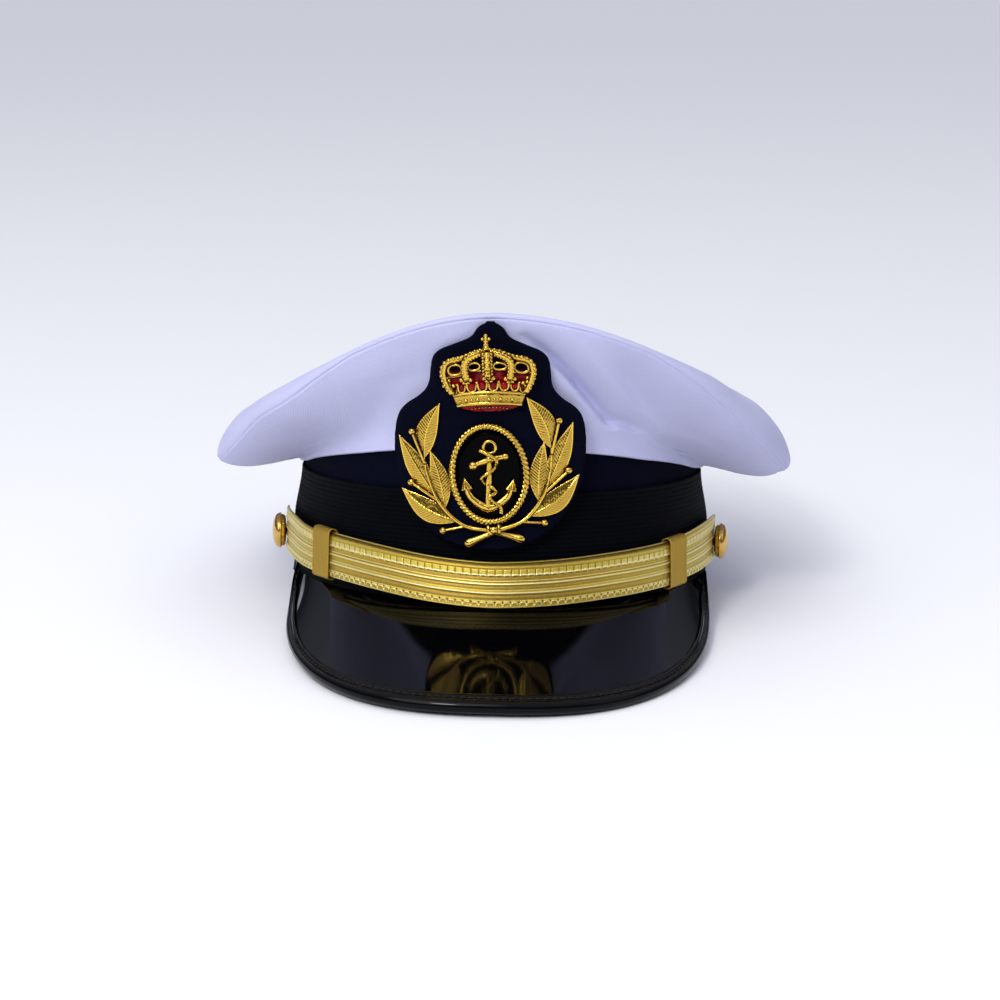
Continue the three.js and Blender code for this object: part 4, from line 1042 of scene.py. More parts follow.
# The binding's folded section: distance in from the rim and height over the visor's face
BINDING = rows(
    "back up",
    (6.0, 0.12), (6.05, 0.5), (5.7, 0.85), (4.9, 1.05), (4.1, 1.0), (3.5, 0.78), (3.1, 0.72), (2.7, 0.8),
    (2.0, 1.2), (1.1, 1.45), (0.2, 1.4), (-0.8, 1.0), (-1.5, 0.3), (-1.85, -0.6), (-1.85, -1.5), (-1.5, -2.4),
    (-0.8, -3.0), (0.2, -3.35), (1.5, -3.4), (2.7, -3.0), (3.1, -2.9), (3.5, -3.0), (4.9, -3.3), (5.8, -3.1),
    (6.05, -2.7), (6.0, -2.2), (3.0, -2.2), (0.3, -2.2), (-0.35, -1.0), (0.3, 0.1), (3.0, 0.12))
# How much of the visor's width it covers at most, where its stitches lie, and how thick they are
BINDING_MOST, BINDING_GROOVE, BINDING_THREAD = 0.45, 3.1, 0.32


class CAP_OT_visor(bpy.types.Operator):
    """Builds the patent leather visor with its matt underside"""
    bl_idname = "cap.visor"
    bl_label = "Visor"

    def execute(self, context):
        settings = context.scene.cap_visor
        shares, reaches = visor_shares(110), [0, 0.004] + spread(0.012, 0.988, 30) + [0.996, 1]
        face = [[visor_point(share, r) for r in reaches] for share in shares]
        ways = [[visor_normal(share, clamp(r, 0.01, 0.99)) for r in reaches] for share in shares]
        for name, upper, lower, finish in (
                ("visor_face", 0, VISOR_FACE, patent_finish("black patent", settings.color, 0.06)),
                ("visor_underside", VISOR_FACE + VISOR_LAYER_GAP, VISOR_WALL,
                 lining_finish("visor underside", settings.lining))):
            form = Form()
            form.bar([a + b[::-1] for a, b in zip(moved(face, ways, -upper), moved(face, ways, -lower))])
            form.piece(name, finish, "patent", "visor")
        return {"FINISHED"}


class CAP_OT_visor_binding(bpy.types.Operator):
    """Builds the binding folded round the visor's rim, with its row of stitches"""
    bl_idname = "cap.visor_binding"
    bl_label = "Visor Binding"

    def execute(self, context):
        settings = context.scene.cap_visor
        form = Form()
        rings = []
        for share in visor_shares(230)[1:-1]:
            narrow = min(1, visor_width(share) * BINDING_MOST / BINDING[0].back)
            rings.append([visor_mark(share, b.back * narrow, b.up) for b in BINDING])
        form.bar(rings)
        leather = patent_finish("binding leather", settings.color, 0.09, 0.4)
        form.piece("binding", leather, "patent", "visor_binding")
        self.sew(settings)
        return {"FINISHED"}

    def sew(self, settings):
        """Lays a row of stitches along the groove, above and below."""
        form = Form()
        shares = spread(-0.98, 0.98, 500)
        for up, side in ((0.78, 1), (-2.95, -1)):
            path = [visor_mark(share, BINDING_GROOVE, up) for share in shares]
            ways = [visor_normal(share, 0.98) * side for share in shares]
            sew(form, path, ways, settings.stitch / MM, BINDING_THREAD)
        thread = patent_finish("binding thread", (0.012, 0.012, 0.014), 0.3)
        form.piece("binding_stitches", thread, "patent", "visor_binding")


# Strap: the step along its lace, how far its ground lies under its full thickness, the painted shading of its
# back and the painted shade in its darkest grooves, and a painted highlight that brightens it from the front
# round to the sides
LACE_STEP, LACE_SUNK, LACE_BACK_SHADING, LACE_DARK = 0.34, 0.5, 0.3, 0.12
LACE_SHINE, LACE_SHINE_FROM, LACE_SHINE_LEAST = 0.26, 5, -0.05


def lace_relief(down, along, pitch):
    """The lace's relief by place down from its upper edge: height in millimetres, and painted shading, a
    painted highlight on raised ribs and painted shade in its grooves and between the ladder's figures.
    """
    height, tone = 0.0, LACE_DARK
    for rib in RIBS:
        across = (down - rib.centre) / rib.half
        if abs(across) < 1:
            swell = math.cos(across * math.pi / 2)
            height, tone = max(height, rib.height * swell), max(tone, lerp(LACE_DARK, rib.tone, swell))
    side = abs((along / pitch) % 1 - 0.5) * 2
    notch = smoothstep(side, 0.82, 0.97)
    top, foot = LADDER_HIGH
    if top < down < foot:
        height, tone = 0.36 * (1 - notch), 0.6 - 0.6 * notch
    centre, half = LADDER_SCALLOP
    across = (down - centre - 0.22 * side * side) / half
    if abs(across) < 1:
        height, tone = 0.46 * math.cos(across * math.pi / 2) * (1 - 0.6 * notch) + 0.1, 1 - 0.6 * notch
    top, foot = LADDER_LOW
    if top < down < foot:
        share = (foot - down) / (foot - top)
        arch = (side / 0.9) ** 3 + (share / 0.8) ** 3
        height, tone = (0.15, 0.34) if arch < 0.6 else (0.42, 0.85) if arch < 1.25 else (0.28, 0.6)
        if arch > 1.25 and side > 0.75:
            height, tone = 0.05, 0.15
    return height, tone


class CAP_OT_strap(bpy.types.Operator):
    """Builds the two lengths of gold lace, the outer one over the inner one"""
    bl_idname = "cap.strap"
    bl_label = "Chin Strap"

    def execute(self, context):
        settings = context.scene.cap_strap
        lace = lace_finish("gold lace", settings.ridge, settings.ground, settings.valley_shade, 0.0004)
        pitch = settings.ladder / MM
        self.length("strap_lace_left", "strap_left", -STRAP_END, SLIDE_RIGHT + STRAP_TAIL, True, lace, pitch)
        self.length("strap_lace_right", "strap_right", STRAP_END, SLIDE_LEFT - STRAP_TAIL, False, lace, pitch)
        return {"FINISHED"}

    def length(self, name, node, start, end, outer, lace, pitch):
        """One length of lace, whose hidden upper edge is left out where it lies over the other."""
        total = runs([strap_point(a, outer, 0, 0) for a in spread(start, end, 200)])[-1]
        angles = spread(start, end, int(total / LACE_STEP))
        top = UNDER_EDGE if outer else 0.0
        downs = [*spread(top, 2.6, 10), *spread(2.76, 5.1, 14), *spread(5.4, 14.1, 30),
                 *spread(14.36, 16.09, 11), 16.2, 16.45, 16.65, STRAP_WIDTH]
        rings, tones = [], []
        for angle, along in zip(angles, runs([strap_point(a, outer, 0, 0) for a in angles])):
            front, front_tones = [], []
            # Painted highlight: the lace is brightened from the front round towards its ends
            shine = LACE_SHINE_LEAST + LACE_SHINE * smoothstep(abs(angle), LACE_SHINE_FROM, STRAP_SINGLE)
            for down in downs:
                height, tone = lace_relief(down, along, pitch)
                edge = 0.35 * (1 - min(1, min(down - downs[0], STRAP_WIDTH - down) / 0.4)) ** 2
                # Painted shadow: a dark line along the outer length's upper edge, where it lies over the
                # inner one
                if outer and down < top + 0.5:
                    height, tone = 0, 0.05
                out = STRAP_THICK - LACE_SUNK + height - edge
                front.append(strap_point(angle, outer, 0.5 - down / STRAP_WIDTH, out))
                front_tones.append(tone + shine)
            back = [strap_point(angle, outer, 0.5 - down / STRAP_WIDTH, 0.1) for down in downs[-2::-22]]
            rings.append(front + back)
            tones.append(front_tones + [LACE_BACK_SHADING] * len(back))
        form = Form()
        form.bar(rings, tones=[[LACE_BACK_SHADING], *tones, [LACE_BACK_SHADING]])
        form.piece(name, lace, "lace", node)


class CAP_OT_slides(bpy.types.Operator):
    """Builds the two keepers folded round the strap"""
    bl_idname = "cap.slides"
    bl_label = "Slides"

    def execute(self, context):
        settings = context.scene.cap_strap
        # Lit and shaded copies of the slide colour: a painted highlight for the ridges and painted shade for
        # the valleys
        tones = (shaded(settings.slide, share) for share in (1, 0.8, 0.55))
        finish = lace_finish("slide lace", *tones, 0.0005)
        self.keeper("slide_keeper_left", "slide_left", SLIDE_LEFT, finish)
        self.keeper("slide_keeper_right", "slide_right", SLIDE_RIGHT, finish)
        return {"FINISHED"}

    def outline(self, inset):
        """A rounded rectangle round both strap layers, from the middle of the front face."""
        corner = max(SLIDE_CORNER - inset, 0.6)
        a = STRAP_THICK + GAP / 2 + SLIDE_CLEAR + SLIDE_WALL - inset - corner
        b = SLIDE_HEIGHT / 2 - inset - corner
        places = []
        for centre_out, centre_up, start in ((a, b, 0), (-a, b, 90), (-a, -b, 180), (a, -b, 270)):
            for turn in spread(start, start + 90, 5):
                t = math.radians(turn)
                places.append((centre_out + corner * math.cos(t), centre_up + corner * math.sin(t)))
        filled = []
        for (a0, b0), (a1, b1) in zip(places, places[1:] + places[:1]):
            steps = max(1, round(math.hypot(a1 - a0, b1 - b0) / 0.8))
            filled.extend((lerp(a0, a1, k / steps), lerp(b0, b1, k / steps)) for k in range(steps))
        return filled

    def keeper(self, name, node, angle, finish):
        before, middle, after = (strap_point(angle + step, False, 0, STRAP_THICK + GAP / 2)
                                 for step in (-1, 0, 1))
        ahead = (after - before).normalized()
        out = Vector((ahead.y, -ahead.x, 0)).normalized()
        up = ahead.cross(out)
        up = up if up.z > 0 else -up
        outer, inner = self.outline(0), self.outline(SLIDE_WALL)
        count = min(len(outer), len(inner))
        outer, inner = ([line[int(k * len(line) / count)] for k in range(count)] for line in (outer, inner))
        rings, tones = [], []
        half = SLIDE_LENGTH / 2
        for along in spread(-half, half, 58):
            rib = 0.5 + 0.5 * math.cos(2 * math.pi * (along + half) / SLIDE_RIB)
            edge = SLIDE_EDGE * max(0, 1 - (half - abs(along)) / SLIDE_EDGE_WIDTH)
            lift = SLIDE_RIB_HEIGHT * (rib - 1) - edge
            rings.append([middle + ahead * along + out * (a + math.copysign(lift, a)) + up * b
                          for a, b in outer])
            # Painted shading: a painted highlight on each rib and painted shade between them
            tones.append([0.35 + 0.4 * rib] * count)
        # The inside of the keeper gets a darker painted shading
        for along in (half - 0.1, 0, 0.1 - half):
            rings.append([middle + ahead * along + out * a + up * b for a, b in inner])
            tones.append([0.3] * count)
        form = Form()
        form.skin(rings, closed=True, tones=tones)
        form.piece(name, finish, "slide", node)


# The button from its foot to its rim, with its fluted back, as radius and height over the strap, and its dome
BUTTON_PROFILE = [(1.2, -0.9), (4.2, -0.85), (4.9, -0.7), (5.6, -0.6), (6.05, -0.15), (6.3, 0.4), (6.4, 0.95),
                  (6.6, 1.05), (6.95, 1.15), (7.15, 1.4), (7.1, 1.7)]
BUTTON_DOME, BUTTON_DOME_FOOT, BUTTON_DOME_HEIGHT, BUTTON_SHANK, BUTTON_RIBS = 6.9, 1.9, 2.7, 1.2, 30


class CAP_OT_buttons(bpy.types.Operator):
    """Builds the two domed gilt buttons with fluted backs"""
    bl_idname = "cap.buttons"
    bl_label = "Buttons"

    def execute(self, context):
        gold = gilt_finish("button gilt", context.scene.cap_strap.button, 0.2)
        self.button("strap_button_left", "button_left", -BUTTON_ANGLE, gold)
        self.button("strap_button_right", "button_right", BUTTON_ANGLE, gold)
        return {"FINISHED"}

    def button(self, name, node, angle, gold):
        seat = strap_point(angle, False, 0, STRAP_THICK + BUTTON_STAND) - UP * BUTTON_DROP
        out = Vector((seat.x / BAND_HALF ** 2, seat.y / BAND_LENGTH ** 2, 0)).normalized()
        across = UP.cross(out)

        def on_strap(x, y, height):
            ribbed = 1 + 0.03 * math.cos(BUTTON_RIBS * math.atan2(y, x)) * clamp(1 - abs(height - 0.2) / 0.9)
            return seat + (across * x + UP * y) * ribbed + out * height

        back = STRAP_OFFSET + STRAP_THICK + BUTTON_STAND - GAP
        dome = [(BUTTON_DOME * math.cos(t), BUTTON_DOME_FOOT + BUTTON_DOME_HEIGHT * math.sin(t))
                for t in spread(0, math.pi / 2, 14)[:-1]]
        top = BUTTON_DOME_FOOT + BUTTON_DOME_HEIGHT
        form = Form()
        form.lathe([(0, -back), (BUTTON_SHANK, -back), *BUTTON_PROFILE, *dome, (0, top)], on_strap, 180)
        form.piece(name, gold, "gold", node)


# Badge
class CAP_OT_felt(bpy.types.Operator):
    """Builds the badge's felt backing with soft cut edges"""
    bl_idname = "cap.felt"
    bl_label = "Badge Felt"

    def execute(self, context):
        rings = []
        for v in spread(FELT_LOW, FELT_HIGH, 111):
            half = max(read(FELT, "half", v), 0.6)
            half += 0.12 * noise.noise(Vector((v / 1.6, 0, 2)))
            end = clamp(min(v - FELT_LOW, FELT_HIGH - v) + 0.1)
            section = []
            for k in spread(-1, 1, 33):
                rim = clamp((1 - abs(k)) * half / 1.1)
                puff = math.sqrt(1 - (1 - rim) ** 2) * math.sqrt(1 - (1 - end) ** 2)
                nap = 0.05 * noise.noise(Vector((k * 40, v, 0)))
                section.append(Vector((k * half, v, -1.2 + 1.15 * puff + nap)))
            back = [Vector((k * half, v, -FELT_THICK)) for k in (0.97, 0.33, -0.33, -0.97)]
            rings.append(section + back)
        form = Form(badge_point)
        form.bar(rings)
        felt = wool_finish("navy felt", context.scene.cap_body.cloth, 0.0005)
        form.piece("badge_backing", felt, "cloth", "badge_felt")
        return {"FINISHED"}


def branch_path(side, count):
    """The middle line of one branch, whose right foot lies over the left one."""
    return smooth_path([(side * row.u, row.v, 1.4 + (0.7 if side > 0 and k < 2 else 0))
                        for k, row in enumerate(BRANCH)], count)


def add_leaf(form, base, tip, width, bow):
    """A laurel leaf: a raised edge and middle rib, hollow slanting veins and a fine curved point."""
    length = tip - base
    across = Vector((-length.y, length.x, 0)).normalized()
    rings, tones = [], []
    for s in spread(0.02, 0.985, 70):
        half = width / 2 * (math.sin(math.pi * s ** 0.9) ** 1.05) * (1.12 - 0.24 * s) + 0.1
        middle = base.lerp(tip, s) + across * (bow * math.sin(math.pi * s) * width / 3)
        end = math.sin(math.pi * s)
        ring, ring_tones = [], []
        for k in spread(-1, 1, 29):
            far = abs(k) * half
            edge = math.exp(-((1 - abs(k)) * half / 0.3) ** 2) * min(1, 3 * end)
            rib = math.exp(-(far / 0.2) ** 2)
            field = clamp((1 - abs(k)) * half / 0.5) * clamp(far / 0.4) * end
            vein = math.cos(2 * math.pi * (s * length.length / 1.05 - far * 0.7)) * field
            fall = 1 - math.sqrt(1 - abs(k) ** 4)
            roof = 0.42 * (1 - abs(k)) * end
            height = 1.15 + roof + 0.1 * vein + 0.3 * rib * (1 - 0.6 * s) + 0.3 * edge - 0.5 * fall
            ring.append(Vector((*(middle + across * (k * half)).xy, height)))
            # Painted shading: a painted highlight on the raised edge and middle rib, light and shade along
            # the veins; the gilt is also polished there, and the tip gets a painted highlight too
            ring_tones.append(clamp(0.38 + 0.1 * vein + 0.25 * rib + 0.55 * edge))
        # The leaf's underside is given darker painted shading
        for k in (0.92, 0, -0.92):
            ring.append(Vector((*(middle + across * (k * half)).xy, 0.5)))
            ring_tones.append(0.2)
        rings.append(ring)
        tones.append(ring_tones)
    foot, point = [Vector((*base.xy, 0.9))], [Vector((*tip.xy, 0.85))]
    form.skin([foot, *rings, point], tones=[[0.4], *tones, [0.9]])


class CAP_OT_wreath(bpy.types.Operator):
    """Builds the rope ring and the two laurel branches tied below it"""
    bl_idname = "cap.wreath"
    bl_label = "Badge Wreath"

    def execute(self, context):
        settings = context.scene.cap_badge
        form = Form(wreath_place)
        path = oval_path(0, 0, GAP + RING_WIRE, RING_HALF, RING_HEIGHT, round(settings.rope) * ROPE_STEPS)
        form.tube(path, 1.25, 14, closed=True,
                  twist=lambda k, t: 0.72 + 0.4 * abs(math.cos(1.5 * t + math.pi * k / ROPE_STEPS)))
        for side in (-1, 1):
            self.branch(form, side)
        self.tie(form)
        gold = gilt_finish("badge gilt", settings.gold, 0.1)
        form.piece("badge_laurel_and_ring", gold, "gold", "badge_wreath")
        return {"FINISHED"}

    def branch(self, form, side):
        """One branch with its leaves, and its berries on their stalks."""
        def thick(s):
            knob = 0.55 * math.exp(-((s - 0.02) / 0.05) ** 2)
            return (1.1 - 0.75 * s + knob) * math.sqrt(clamp(0.25 + s / 0.02))

        form.tube(branch_path(side, 60), thick, 12)
        feet = branch_path(side, 101)
        for row in LEAVES:
            foot = feet[round(row.along * 100)]
            tip = Vector((side * row.tip_u, row.tip_v, foot.z))
            add_leaf(form, foot, tip, row.width, -side * row.bow)
        for row in BERRIES:
            foot = feet[round(row.along * 100)]
            tip = Vector((side * row.tip_u, row.tip_v, 1.9))
            form.tube(smooth_path([foot, foot.lerp(tip, 0.5) + UP * 0.2, tip], 12), 0.5, 8)
            form.ball(tip, 1.25, 14)

    def tie(self, form):
        """Two crossed bands, a loop on either side of them and a knob in the middle."""
        for lean in (-0.55, 0.55):
            across = [(u, TIE_V + lean * u, w) for u, w in ((-2.6, 1.2), (0, 3.1), (2.6, 1.2))]
            form.tube(smooth_path(across, 18), 0.75, 10, flatten=0.7)
        for u in (-1.9, 1.9):
            loop = [Vector((u, TIE_V + 2.1 * math.cos(t), 1.5 + 1.5 * math.sin(t))) for t in full_turn(24)]
            form.tube(loop, 0.5, 8, closed=True)
        form.ball((0, TIE_V, 2.6), 1.5, 14, 0.7)


class CAP_OT_plate(bpy.types.Operator):
    """Builds the glossy black oval inside the rope ring"""
    bl_idname = "cap.plate"
    bl_label = "Badge Plate"

    def execute(self, context):
        low, high = GAP, GAP + PLATE_THICK
        section = [(0.97, low), (1, low + 0.2), (1, high - 0.3), (0.975, high - 0.06)]
        section += [(scale, high - 0.05 + 0.15 * (1 - scale * scale)) for scale in spread(0.93, 0.1, 12)]
        rings = [oval_path(0, 0, w, PLATE_HALF * scale, PLATE_HEIGHT * scale, 96) for scale, w in section]
        form = Form(badge_point)
        form.skin([[UP * low], *rings, [UP * (high + 0.1)]])
        enamel = patent_finish("black enamel", shaded(context.scene.cap_visor.color, 0.4), 0.1, 0.1)
        form.piece("badge_black_oval", enamel, "black", "badge_plate")
        return {"FINISHED"}


class CAP_OT_anchor(bpy.types.Operator):
    """Builds the anchor with its stock, ring, arms, flukes and the rope wound round it"""
    bl_idname = "cap.anchor"
    bl_label = "Badge Anchor"

    def execute(self, context):
        form = Form(badge_point)
        form.tube(self.line(24, (0, 7.6, 0), (0, -2, 0), (0, -12.2, 0)), lambda s: 1.35 + 0.5 * s, 4)
        stock = self.line(20, (-5.7, 3.0, 0), (0, 5.2, 0.3), (5.7, 6.6, 0))
        form.tube(stock, lambda s: 1.35 - 0.35 * abs(2 * s - 1), 12)
        for knob, radius in ((stock[0], 1.75), (stock[-1], 1.35), ((0, 5.6, ANCHOR_OUT + 0.4), 1.6)):
            form.ball(knob, radius, 14)
        arms = self.line(40, (-8.4, -3.4, 0), (-6.3, -8.4, 0), (0, -12.1, 0.2), (6.3, -8.4, 0),
                         (8.4, -3.4, 0))
        form.tube(arms, lambda s: 0.7 + 0.95 * (1 - abs(2 * s - 1)), 12, flatten=0.8)
        form.tube(oval_path(0, 9.8, ANCHOR_OUT, 2.2, 2.2, 40), 0.6, 10, closed=True)
        for side in (-1, 1):
            self.fluke(form, side)
        rope = self.line(
            260, (-3.4, 8.6, 0.2), (-0.6, 7.4, 1.6), (2.6, 5.2, 1.3), (1.9, 2.2, -0.2), (-0.6, 0.4, 1.5),
            (-2.6, -1.6, 0.6), (-1.2, -3.6, -0.4), (1.3, -4.6, 1.5), (2.4, -6.4, 0.6), (0.4, -7.8, 1.7),
            (1.6, -9.8, 1.4), (4.2, -11.6, 0.8), (4.6, -14, 0.2))
        form.tube(rope, 0.68, 10, twist=lambda k, t: 0.86 + 0.22 * abs(math.cos(t + k * 0.42)))
        gold = gilt_finish("anchor gilt", context.scene.cap_badge.gold, 0.09)
        form.piece("badge_fouled_anchor", gold, "gold", "badge_anchor")
        return {"FINISHED"}

    def line(self, count, *places):
        """A smooth curve through places, each with its distance over the anchor's middle plane."""
        return smooth_path([(u, v, ANCHOR_OUT + w) for u, v, w in places], count)

    def fluke(self, form, side):
        """A ridged fluke of two halves that meet in its tip."""
        root, tip, barb, outer = (Vector((side * u, v, ANCHOR_OUT))
                                  for u, v in ((7.6, -5.8), (8.9, -1.2), (5.5, -5.4), (9.9, -6.3)))
        for corner in (barb, outer):
            rings = []
            for s in spread(0.02, 0.98, 12):
                spine, edge = root.lerp(tip, s), corner.lerp(tip, s)
                rings.append([spine + UP * 0.75, edge + UP * 0.1, edge - UP * 0.3, spine - UP * 0.6])
            form.skin([[root.lerp(corner, 0.4)], *rings, [tip]])


def on_circlet(k, rise, out=0.0):
    """A place on the crown's circlet, k from -1 to 1 across and rise from its lower edge to its upper one."""
    low, high = CIRCLET_LOW, CIRCLET_HIGH
    half, v, bow = (lerp(a, b, rise) for a, b in zip(low, high))
    return Vector((k * half, v + bow * (1 - k * k), CROWN_LIFT + CROWN_RELIEF * (1 - k * k) + out))


def crown_depth(u):
    return CROWN_LIFT + CROWN_RELIEF * max(0, 1 - (u / CIRCLET_HIGH[0]) ** 2)


class CAP_OT_crown(bpy.types.Operator):
    """Builds the crown with its circlet, shields, flowers, beaded arches, orb and cross"""
    bl_idname = "cap.crown"
    bl_label = "Badge Crown"

    def execute(self, context):
        form = Form(crown_place)
        self.circlet(form)
        self.shields(form)
        for row in FLOWERS:
            w = crown_depth(row.u) + 0.5
            for du, dv, radius in PETALS:
                form.ball((row.u + du, row.v + dv, w), radius, 10)
        for arch in ARCHES:
            for side in (-1, 1):
                self.arch(form, [(side * u, v) for u, v in arch.places], arch)
        for row in OPENINGS:
            middle = Vector((row.u, row.v, CROWN_LIFT + 1.2))
            ring = [turned(p, row.turn) + middle for p in oval_path(0, 0, 0, row.half, row.height, 32)]
            form.tube(ring, 0.5, 8, closed=True)
        for ledge in LEDGES:
            form.tube(smooth_path([(u, v, crown_depth(u) - 0.9) for u, v in ledge], 14), 0.45, 8)
        for k, v in enumerate(spread(13.6, 20.6, 7)):
            out = CROWN_LIFT + 3.4 + 0.6 * math.sin(math.pi * k / 6)
            form.ball((-0.1, v, out + 0.5), 0.95 if k % 2 else 1.25, 12)
            for side in (-1, 1):
                form.ball((side * 1.35 - 0.1, v + 0.3, out - 0.2), 0.72, 10)
        self.finial(form)
        gold = gilt_finish("crown gilt", context.scene.cap_badge.gold, 0.08)
        form.piece("badge_ornate_crown", gold, "gold", "badge_crown")
        return {"FINISHED"}

    def circlet(self, form):
        """Two rims with a smooth jewelled band between them, bowed out in the middle."""
        across = spread(-1, 1, 60)
        for rise, radius in ((0.08, 0.8), (0.72, 0.45), (0.97, 0.62)):
            form.tube([on_circlet(k, rise) for k in across], radius, 10)
        rings = []
        for k in across:
            front = [on_circlet(k, rise, 0.15 + 0.35 * math.sin(math.pi * rise))
                     for rise in spread(0.05, 1, 9)]
            rings.append(front + [on_circlet(k, 1, -0.8), on_circlet(k, 0.05, -0.8)])
        # Painted shade: the band between the rims gets a lower painted shading, so it is darker and less
        # polished
        form.bar(rings, 0.38)
        for n, k in enumerate(spread(-0.86, 0.86, 11)):
            form.ball(on_circlet(k, 0.42, 0.5), 0.75 if n % 2 else 0.5, 8, 0.8)
        for k in spread(-1, 1, 11):
            form.ball((k * 6.2, 1.2 + 0.5 * (1 - k * k), 1.95), 0.3, 8)

    def shields(self, form):
        """A row of little shields along the circlet, with a pearl over each place where two meet."""
        outline = ((-1, 1.5), (-0.85, -0.2), (-0.5, -1.15), (0, -1.5), (0.5, -1.15), (0.85, -0.2), (1, 1.5))
        for row, after in zip(SHIELDS, SHIELDS[1:] + [None]):
            w = crown_depth(row.u) + 0.1
            form.tube(smooth_path([(row.u + a * row.half, row.v + b, w) for a, b in outline], 24), 0.4, 8)
            if after:
                u, v = (row.u + row.half + after.u - after.half) / 2, (row.v + after.v) / 2
                form.ball((u, v + 1.7, crown_depth(u) + 0.3), 0.62, 8)
                form.ball((u, v + 0.4, crown_depth(u) + 0.2), 0.45, 8)

    def arch(self, form, places, row):
        """A flat strip with beads along it, bowed outwards."""
        last = len(places) - 1
        line = [Vector((u, v, CROWN_LIFT + row.depth * math.sin(math.pi * (0.25 + 0.6 * k / last))))
                for k, (u, v) in enumerate(places)]
        path = smooth_path(line, 60)
        form.tube(path, row.wire, 10, twist=lambda k, t: 0.88 + 0.16 * abs(math.cos(2 * t + k * 0.7)),
                  flatten=0.7)
        middle = Vector((0, 14, 0))
        for aside in row.aside:
            last = 0.0
            for far, point, ahead in zip(runs(path), path, path[1:]):
                if far - last > row.bead * 1.9:
                    last = far
                    across = (ahead - point).cross(UP).normalized()
                    away = math.copysign(1, across.dot(point - middle))
                    form.ball(point - across * (away * aside) + UP * 0.35, row.bead, 8)

    def finial(self, form):
        w = CROWN_LIFT + 0.7
        for row in FINIAL:
            form.ball((row.u, row.v, w), row.radius, 12, 0.85)
        form.tube([Vector((FINIAL[0].u, 22, w)), Vector((FINIAL[0].u, 27.2, w))], 0.5, 8)


class CAP_OT_crown_lining(bpy.types.Operator):
    """Builds the red enamelled cap behind the crown's arches"""
    bl_idname = "cap.crown_lining"
    bl_label = "Crown Lining"

    def execute(self, context):
        form = Form(crown_place)
        rings = []
        for v in spread(0.3, 14.9, 48):
            half = read(LINING, "half", v)
            section = []
            for k in spread(-1, 1, 61):
                u = k * half
                top = 12.5 + 2.2 * max(0, 1 - (u / 9) ** 2) + 0.03 * u
                bulge = (0.7 + 0.5 * abs(math.sin(2.5 * math.pi * k))) * math.sqrt(max(0, 1 - k * k))
                section.append(Vector((u, v * top / 14.9, GAP + 0.5 + bulge)))
            back = [Vector((k * half, v, GAP)) for k in (0.98, 0, -0.98)]
            rings.append(section + back)
        form.bar(rings)
        for row in SHIELDS:
            form.ball((row.u, row.v + 0.1, crown_depth(row.u) - 0.5), row.half * 0.95, 12, 0.6)
        enamel = enamel_finish("red enamel", context.scene.cap_badge.enamel)
        form.piece("crown_red_cap", enamel, "enamel", "crown_lining")
        return {"FINISHED"}


# Stage: the camera's place and turns, the floor's reach, the lights in metres, and the sky from below up
CAMERA_FAR, CAMERA_HEIGHT, CAMERA_FOCUS = 893, 134.7, 2195
CAMERA_YAW, CAMERA_PITCH, CAMERA_ROLL = math.radians(1.6), math.radians(7.0), math.radians(0.9)
CAMERA_OFF_CENTRE, PICTURE, SENSOR = 1.5, 1000, 36
FLOOR_REACH, LIGHT_TARGET = 30, Vector((0, 0, 0.05))
LIGHTS = rows(
    "name size place",
    ("key", 2.6, (-1.1, -1.9, 2.05)), ("fill", 2.0, (2.6, -1.0, 1.4)), ("spark", 0.3, (-0.4, -1.15, 0.95)))
SKY = ((0.08, (0.04, 0.042, 0.055)), (0.45, (0.34, 0.355, 0.44)), (0.85, (0.92, 0.93, 1)))


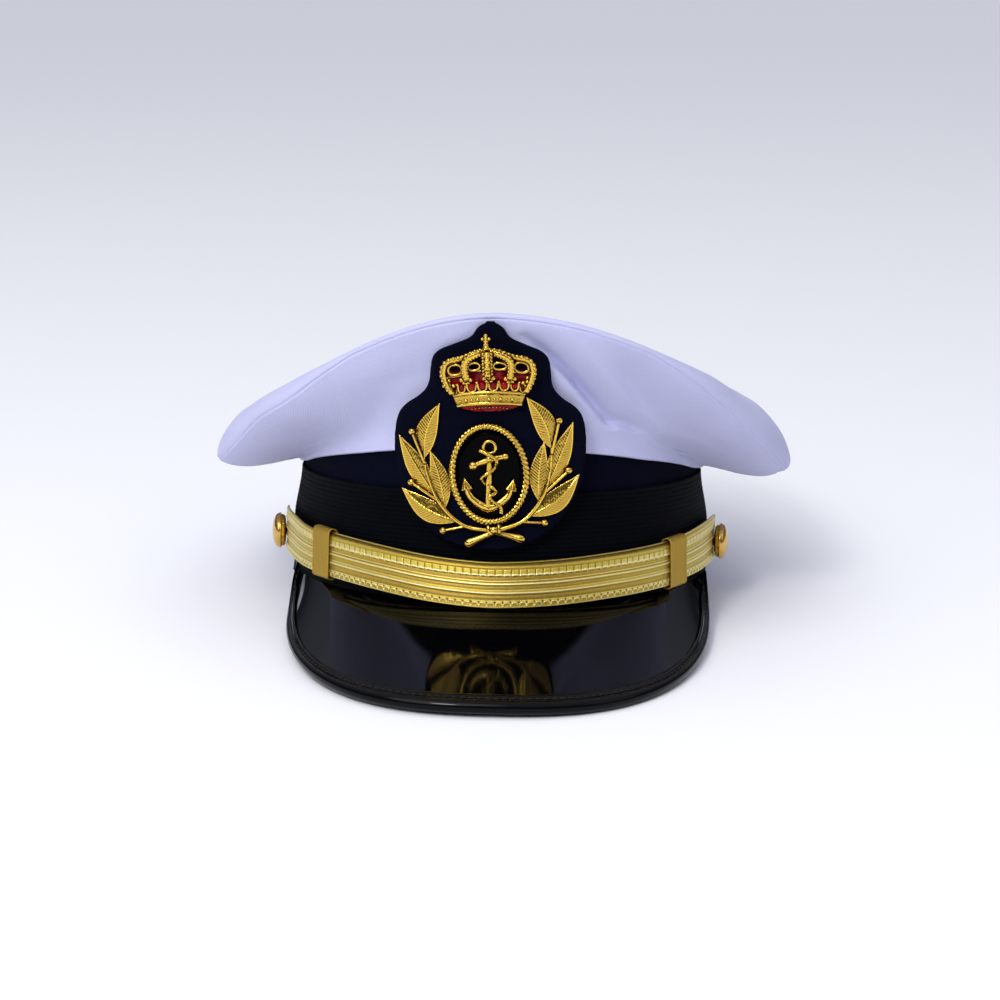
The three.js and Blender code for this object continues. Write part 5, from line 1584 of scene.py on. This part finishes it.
class CAP_OT_stage(bpy.types.Operator):
    """Builds the pale floor, the soft lights and the camera"""
    bl_idname = "cap.stage"
    bl_label = "Stage"

    def execute(self, context):
        settings = context.scene.cap_stage
        self.floor(settings)
        for row in LIGHTS:
            self.light(row, getattr(settings, row.name))
        world = bpy.data.worlds.new("studio")
        world.use_nodes = True
        tree = world.node_tree
        background = tree.nodes["Background"]
        background.inputs["Strength"].default_value = settings.sky
        up = tree.nodes.new("ShaderNodeSeparateXYZ")
        ramp = tree.nodes.new("ShaderNodeValToRGB")
        fill_ramp(ramp.color_ramp, SKY)
        tree.links.new(tree.nodes.new("ShaderNodeTexCoord").outputs["Generated"], up.inputs["Vector"])
        tree.links.new(up.outputs["Z"], ramp.inputs["Fac"])
        tree.links.new(ramp.outputs["Color"], background.inputs["Color"])
        context.scene.world = world
        context.scene.view_settings.view_transform = "Standard"
        self.camera(context)
        return {"FINISHED"}

    def floor(self, settings):
        mesh = bpy.data.meshes.new("floor")
        corners = [(x * FLOOR_REACH, y * FLOOR_REACH, 0) for x, y in ((-1, -1), (1, -1), (1, 1), (-1, 1))]
        mesh.from_pydata(corners, [], [(0, 1, 2, 3)])
        mesh.materials.append(floor_finish("pale floor", settings.floor))
        floor = bpy.data.objects.new("floor", mesh)
        bpy.context.scene.collection.objects.link(floor)

    def light(self, row, power):
        lamp = bpy.data.lights.new(row.name, "AREA")
        lamp.shape = "DISK"
        lamp.size = row.size
        lamp.energy = power
        holder = bpy.data.objects.new(row.name, lamp)
        holder.location = row.place
        holder.rotation_euler = (LIGHT_TARGET - Vector(row.place)).to_track_quat("-Z", "Y").to_euler()
        bpy.context.scene.collection.objects.link(holder)

    def camera(self, context):
        """Stands the camera where the photograph was taken from, in the cap's own frame."""
        place = Vector((math.sin(CAMERA_YAW), -math.cos(CAMERA_YAW), 0)) * CAMERA_FAR + UP * CAMERA_HEIGHT
        turns = REST_TURN
        for angle, axis in ((CAMERA_YAW, "Z"), (math.pi / 2 - CAMERA_PITCH, "X"), (CAMERA_ROLL, "Z"),
                            (math.atan(CAMERA_OFF_CENTRE / CAMERA_FOCUS), "Y")):
            turns = turns @ Matrix.Rotation(angle, 4, axis)
        camera = bpy.data.cameras.new("camera")
        camera.sensor_width = SENSOR
        camera.lens = CAMERA_FOCUS * SENSOR / PICTURE
        camera.clip_start = 0.05
        camera.clip_end = 200
        holder = bpy.data.objects.new("camera", camera)
        holder.matrix_world = Matrix.Translation(at_rest(place)) @ turns
        context.scene.collection.objects.link(holder)
        context.scene.camera = holder


OPERATORS = (
    CAP_OT_cover_side, CAP_OT_cover_top, CAP_OT_body, CAP_OT_band, CAP_OT_visor, CAP_OT_visor_binding,
    CAP_OT_strap, CAP_OT_slides, CAP_OT_buttons, CAP_OT_felt, CAP_OT_wreath, CAP_OT_plate, CAP_OT_anchor,
    CAP_OT_crown, CAP_OT_crown_lining, CAP_OT_stage)
SETTINGS = {
    "cap_cover": CapCoverSettings, "cap_body": CapBodySettings, "cap_visor": CapVisorSettings,
    "cap_strap": CapStrapSettings, "cap_badge": CapBadgeSettings, "cap_stage": CapStageSettings}


class CAP_PT_pieces(bpy.types.Panel):
    """Lists the cap's settings and the operators that build its pieces"""
    bl_idname = "CAP_PT_pieces"
    bl_label = "Officer Cap"
    bl_space_type = "VIEW_3D"
    bl_region_type = "UI"
    bl_category = "Cap"

    def draw(self, context):
        for name, group in SETTINGS.items():
            box = self.layout.box()
            for key in group.__annotations__:
                box.prop(getattr(context.scene, name), key)
        for operator in OPERATORS:
            self.layout.operator(operator.bl_idname)


def register():
    for group in SETTINGS.values():
        bpy.utils.register_class(group)
    for operator in OPERATORS:
        bpy.utils.register_class(operator)
    bpy.utils.register_class(CAP_PT_pieces)
    for name, group in SETTINGS.items():
        setattr(bpy.types.Scene, name, PointerProperty(type=group))


def unregister():
    for name in SETTINGS:
        delattr(bpy.types.Scene, name)
    bpy.utils.unregister_class(CAP_PT_pieces)
    for group in (*OPERATORS, *SETTINGS.values()):
        bpy.utils.unregister_class(group)


def main():
    register()
    for operator in OPERATORS:
        group, name = operator.bl_idname.split(".")
        if getattr(getattr(bpy.ops, group), name)() != {"FINISHED"}:
            raise RuntimeError(f"{operator.bl_label} was not built")


if __name__ == "__main__":
    main()
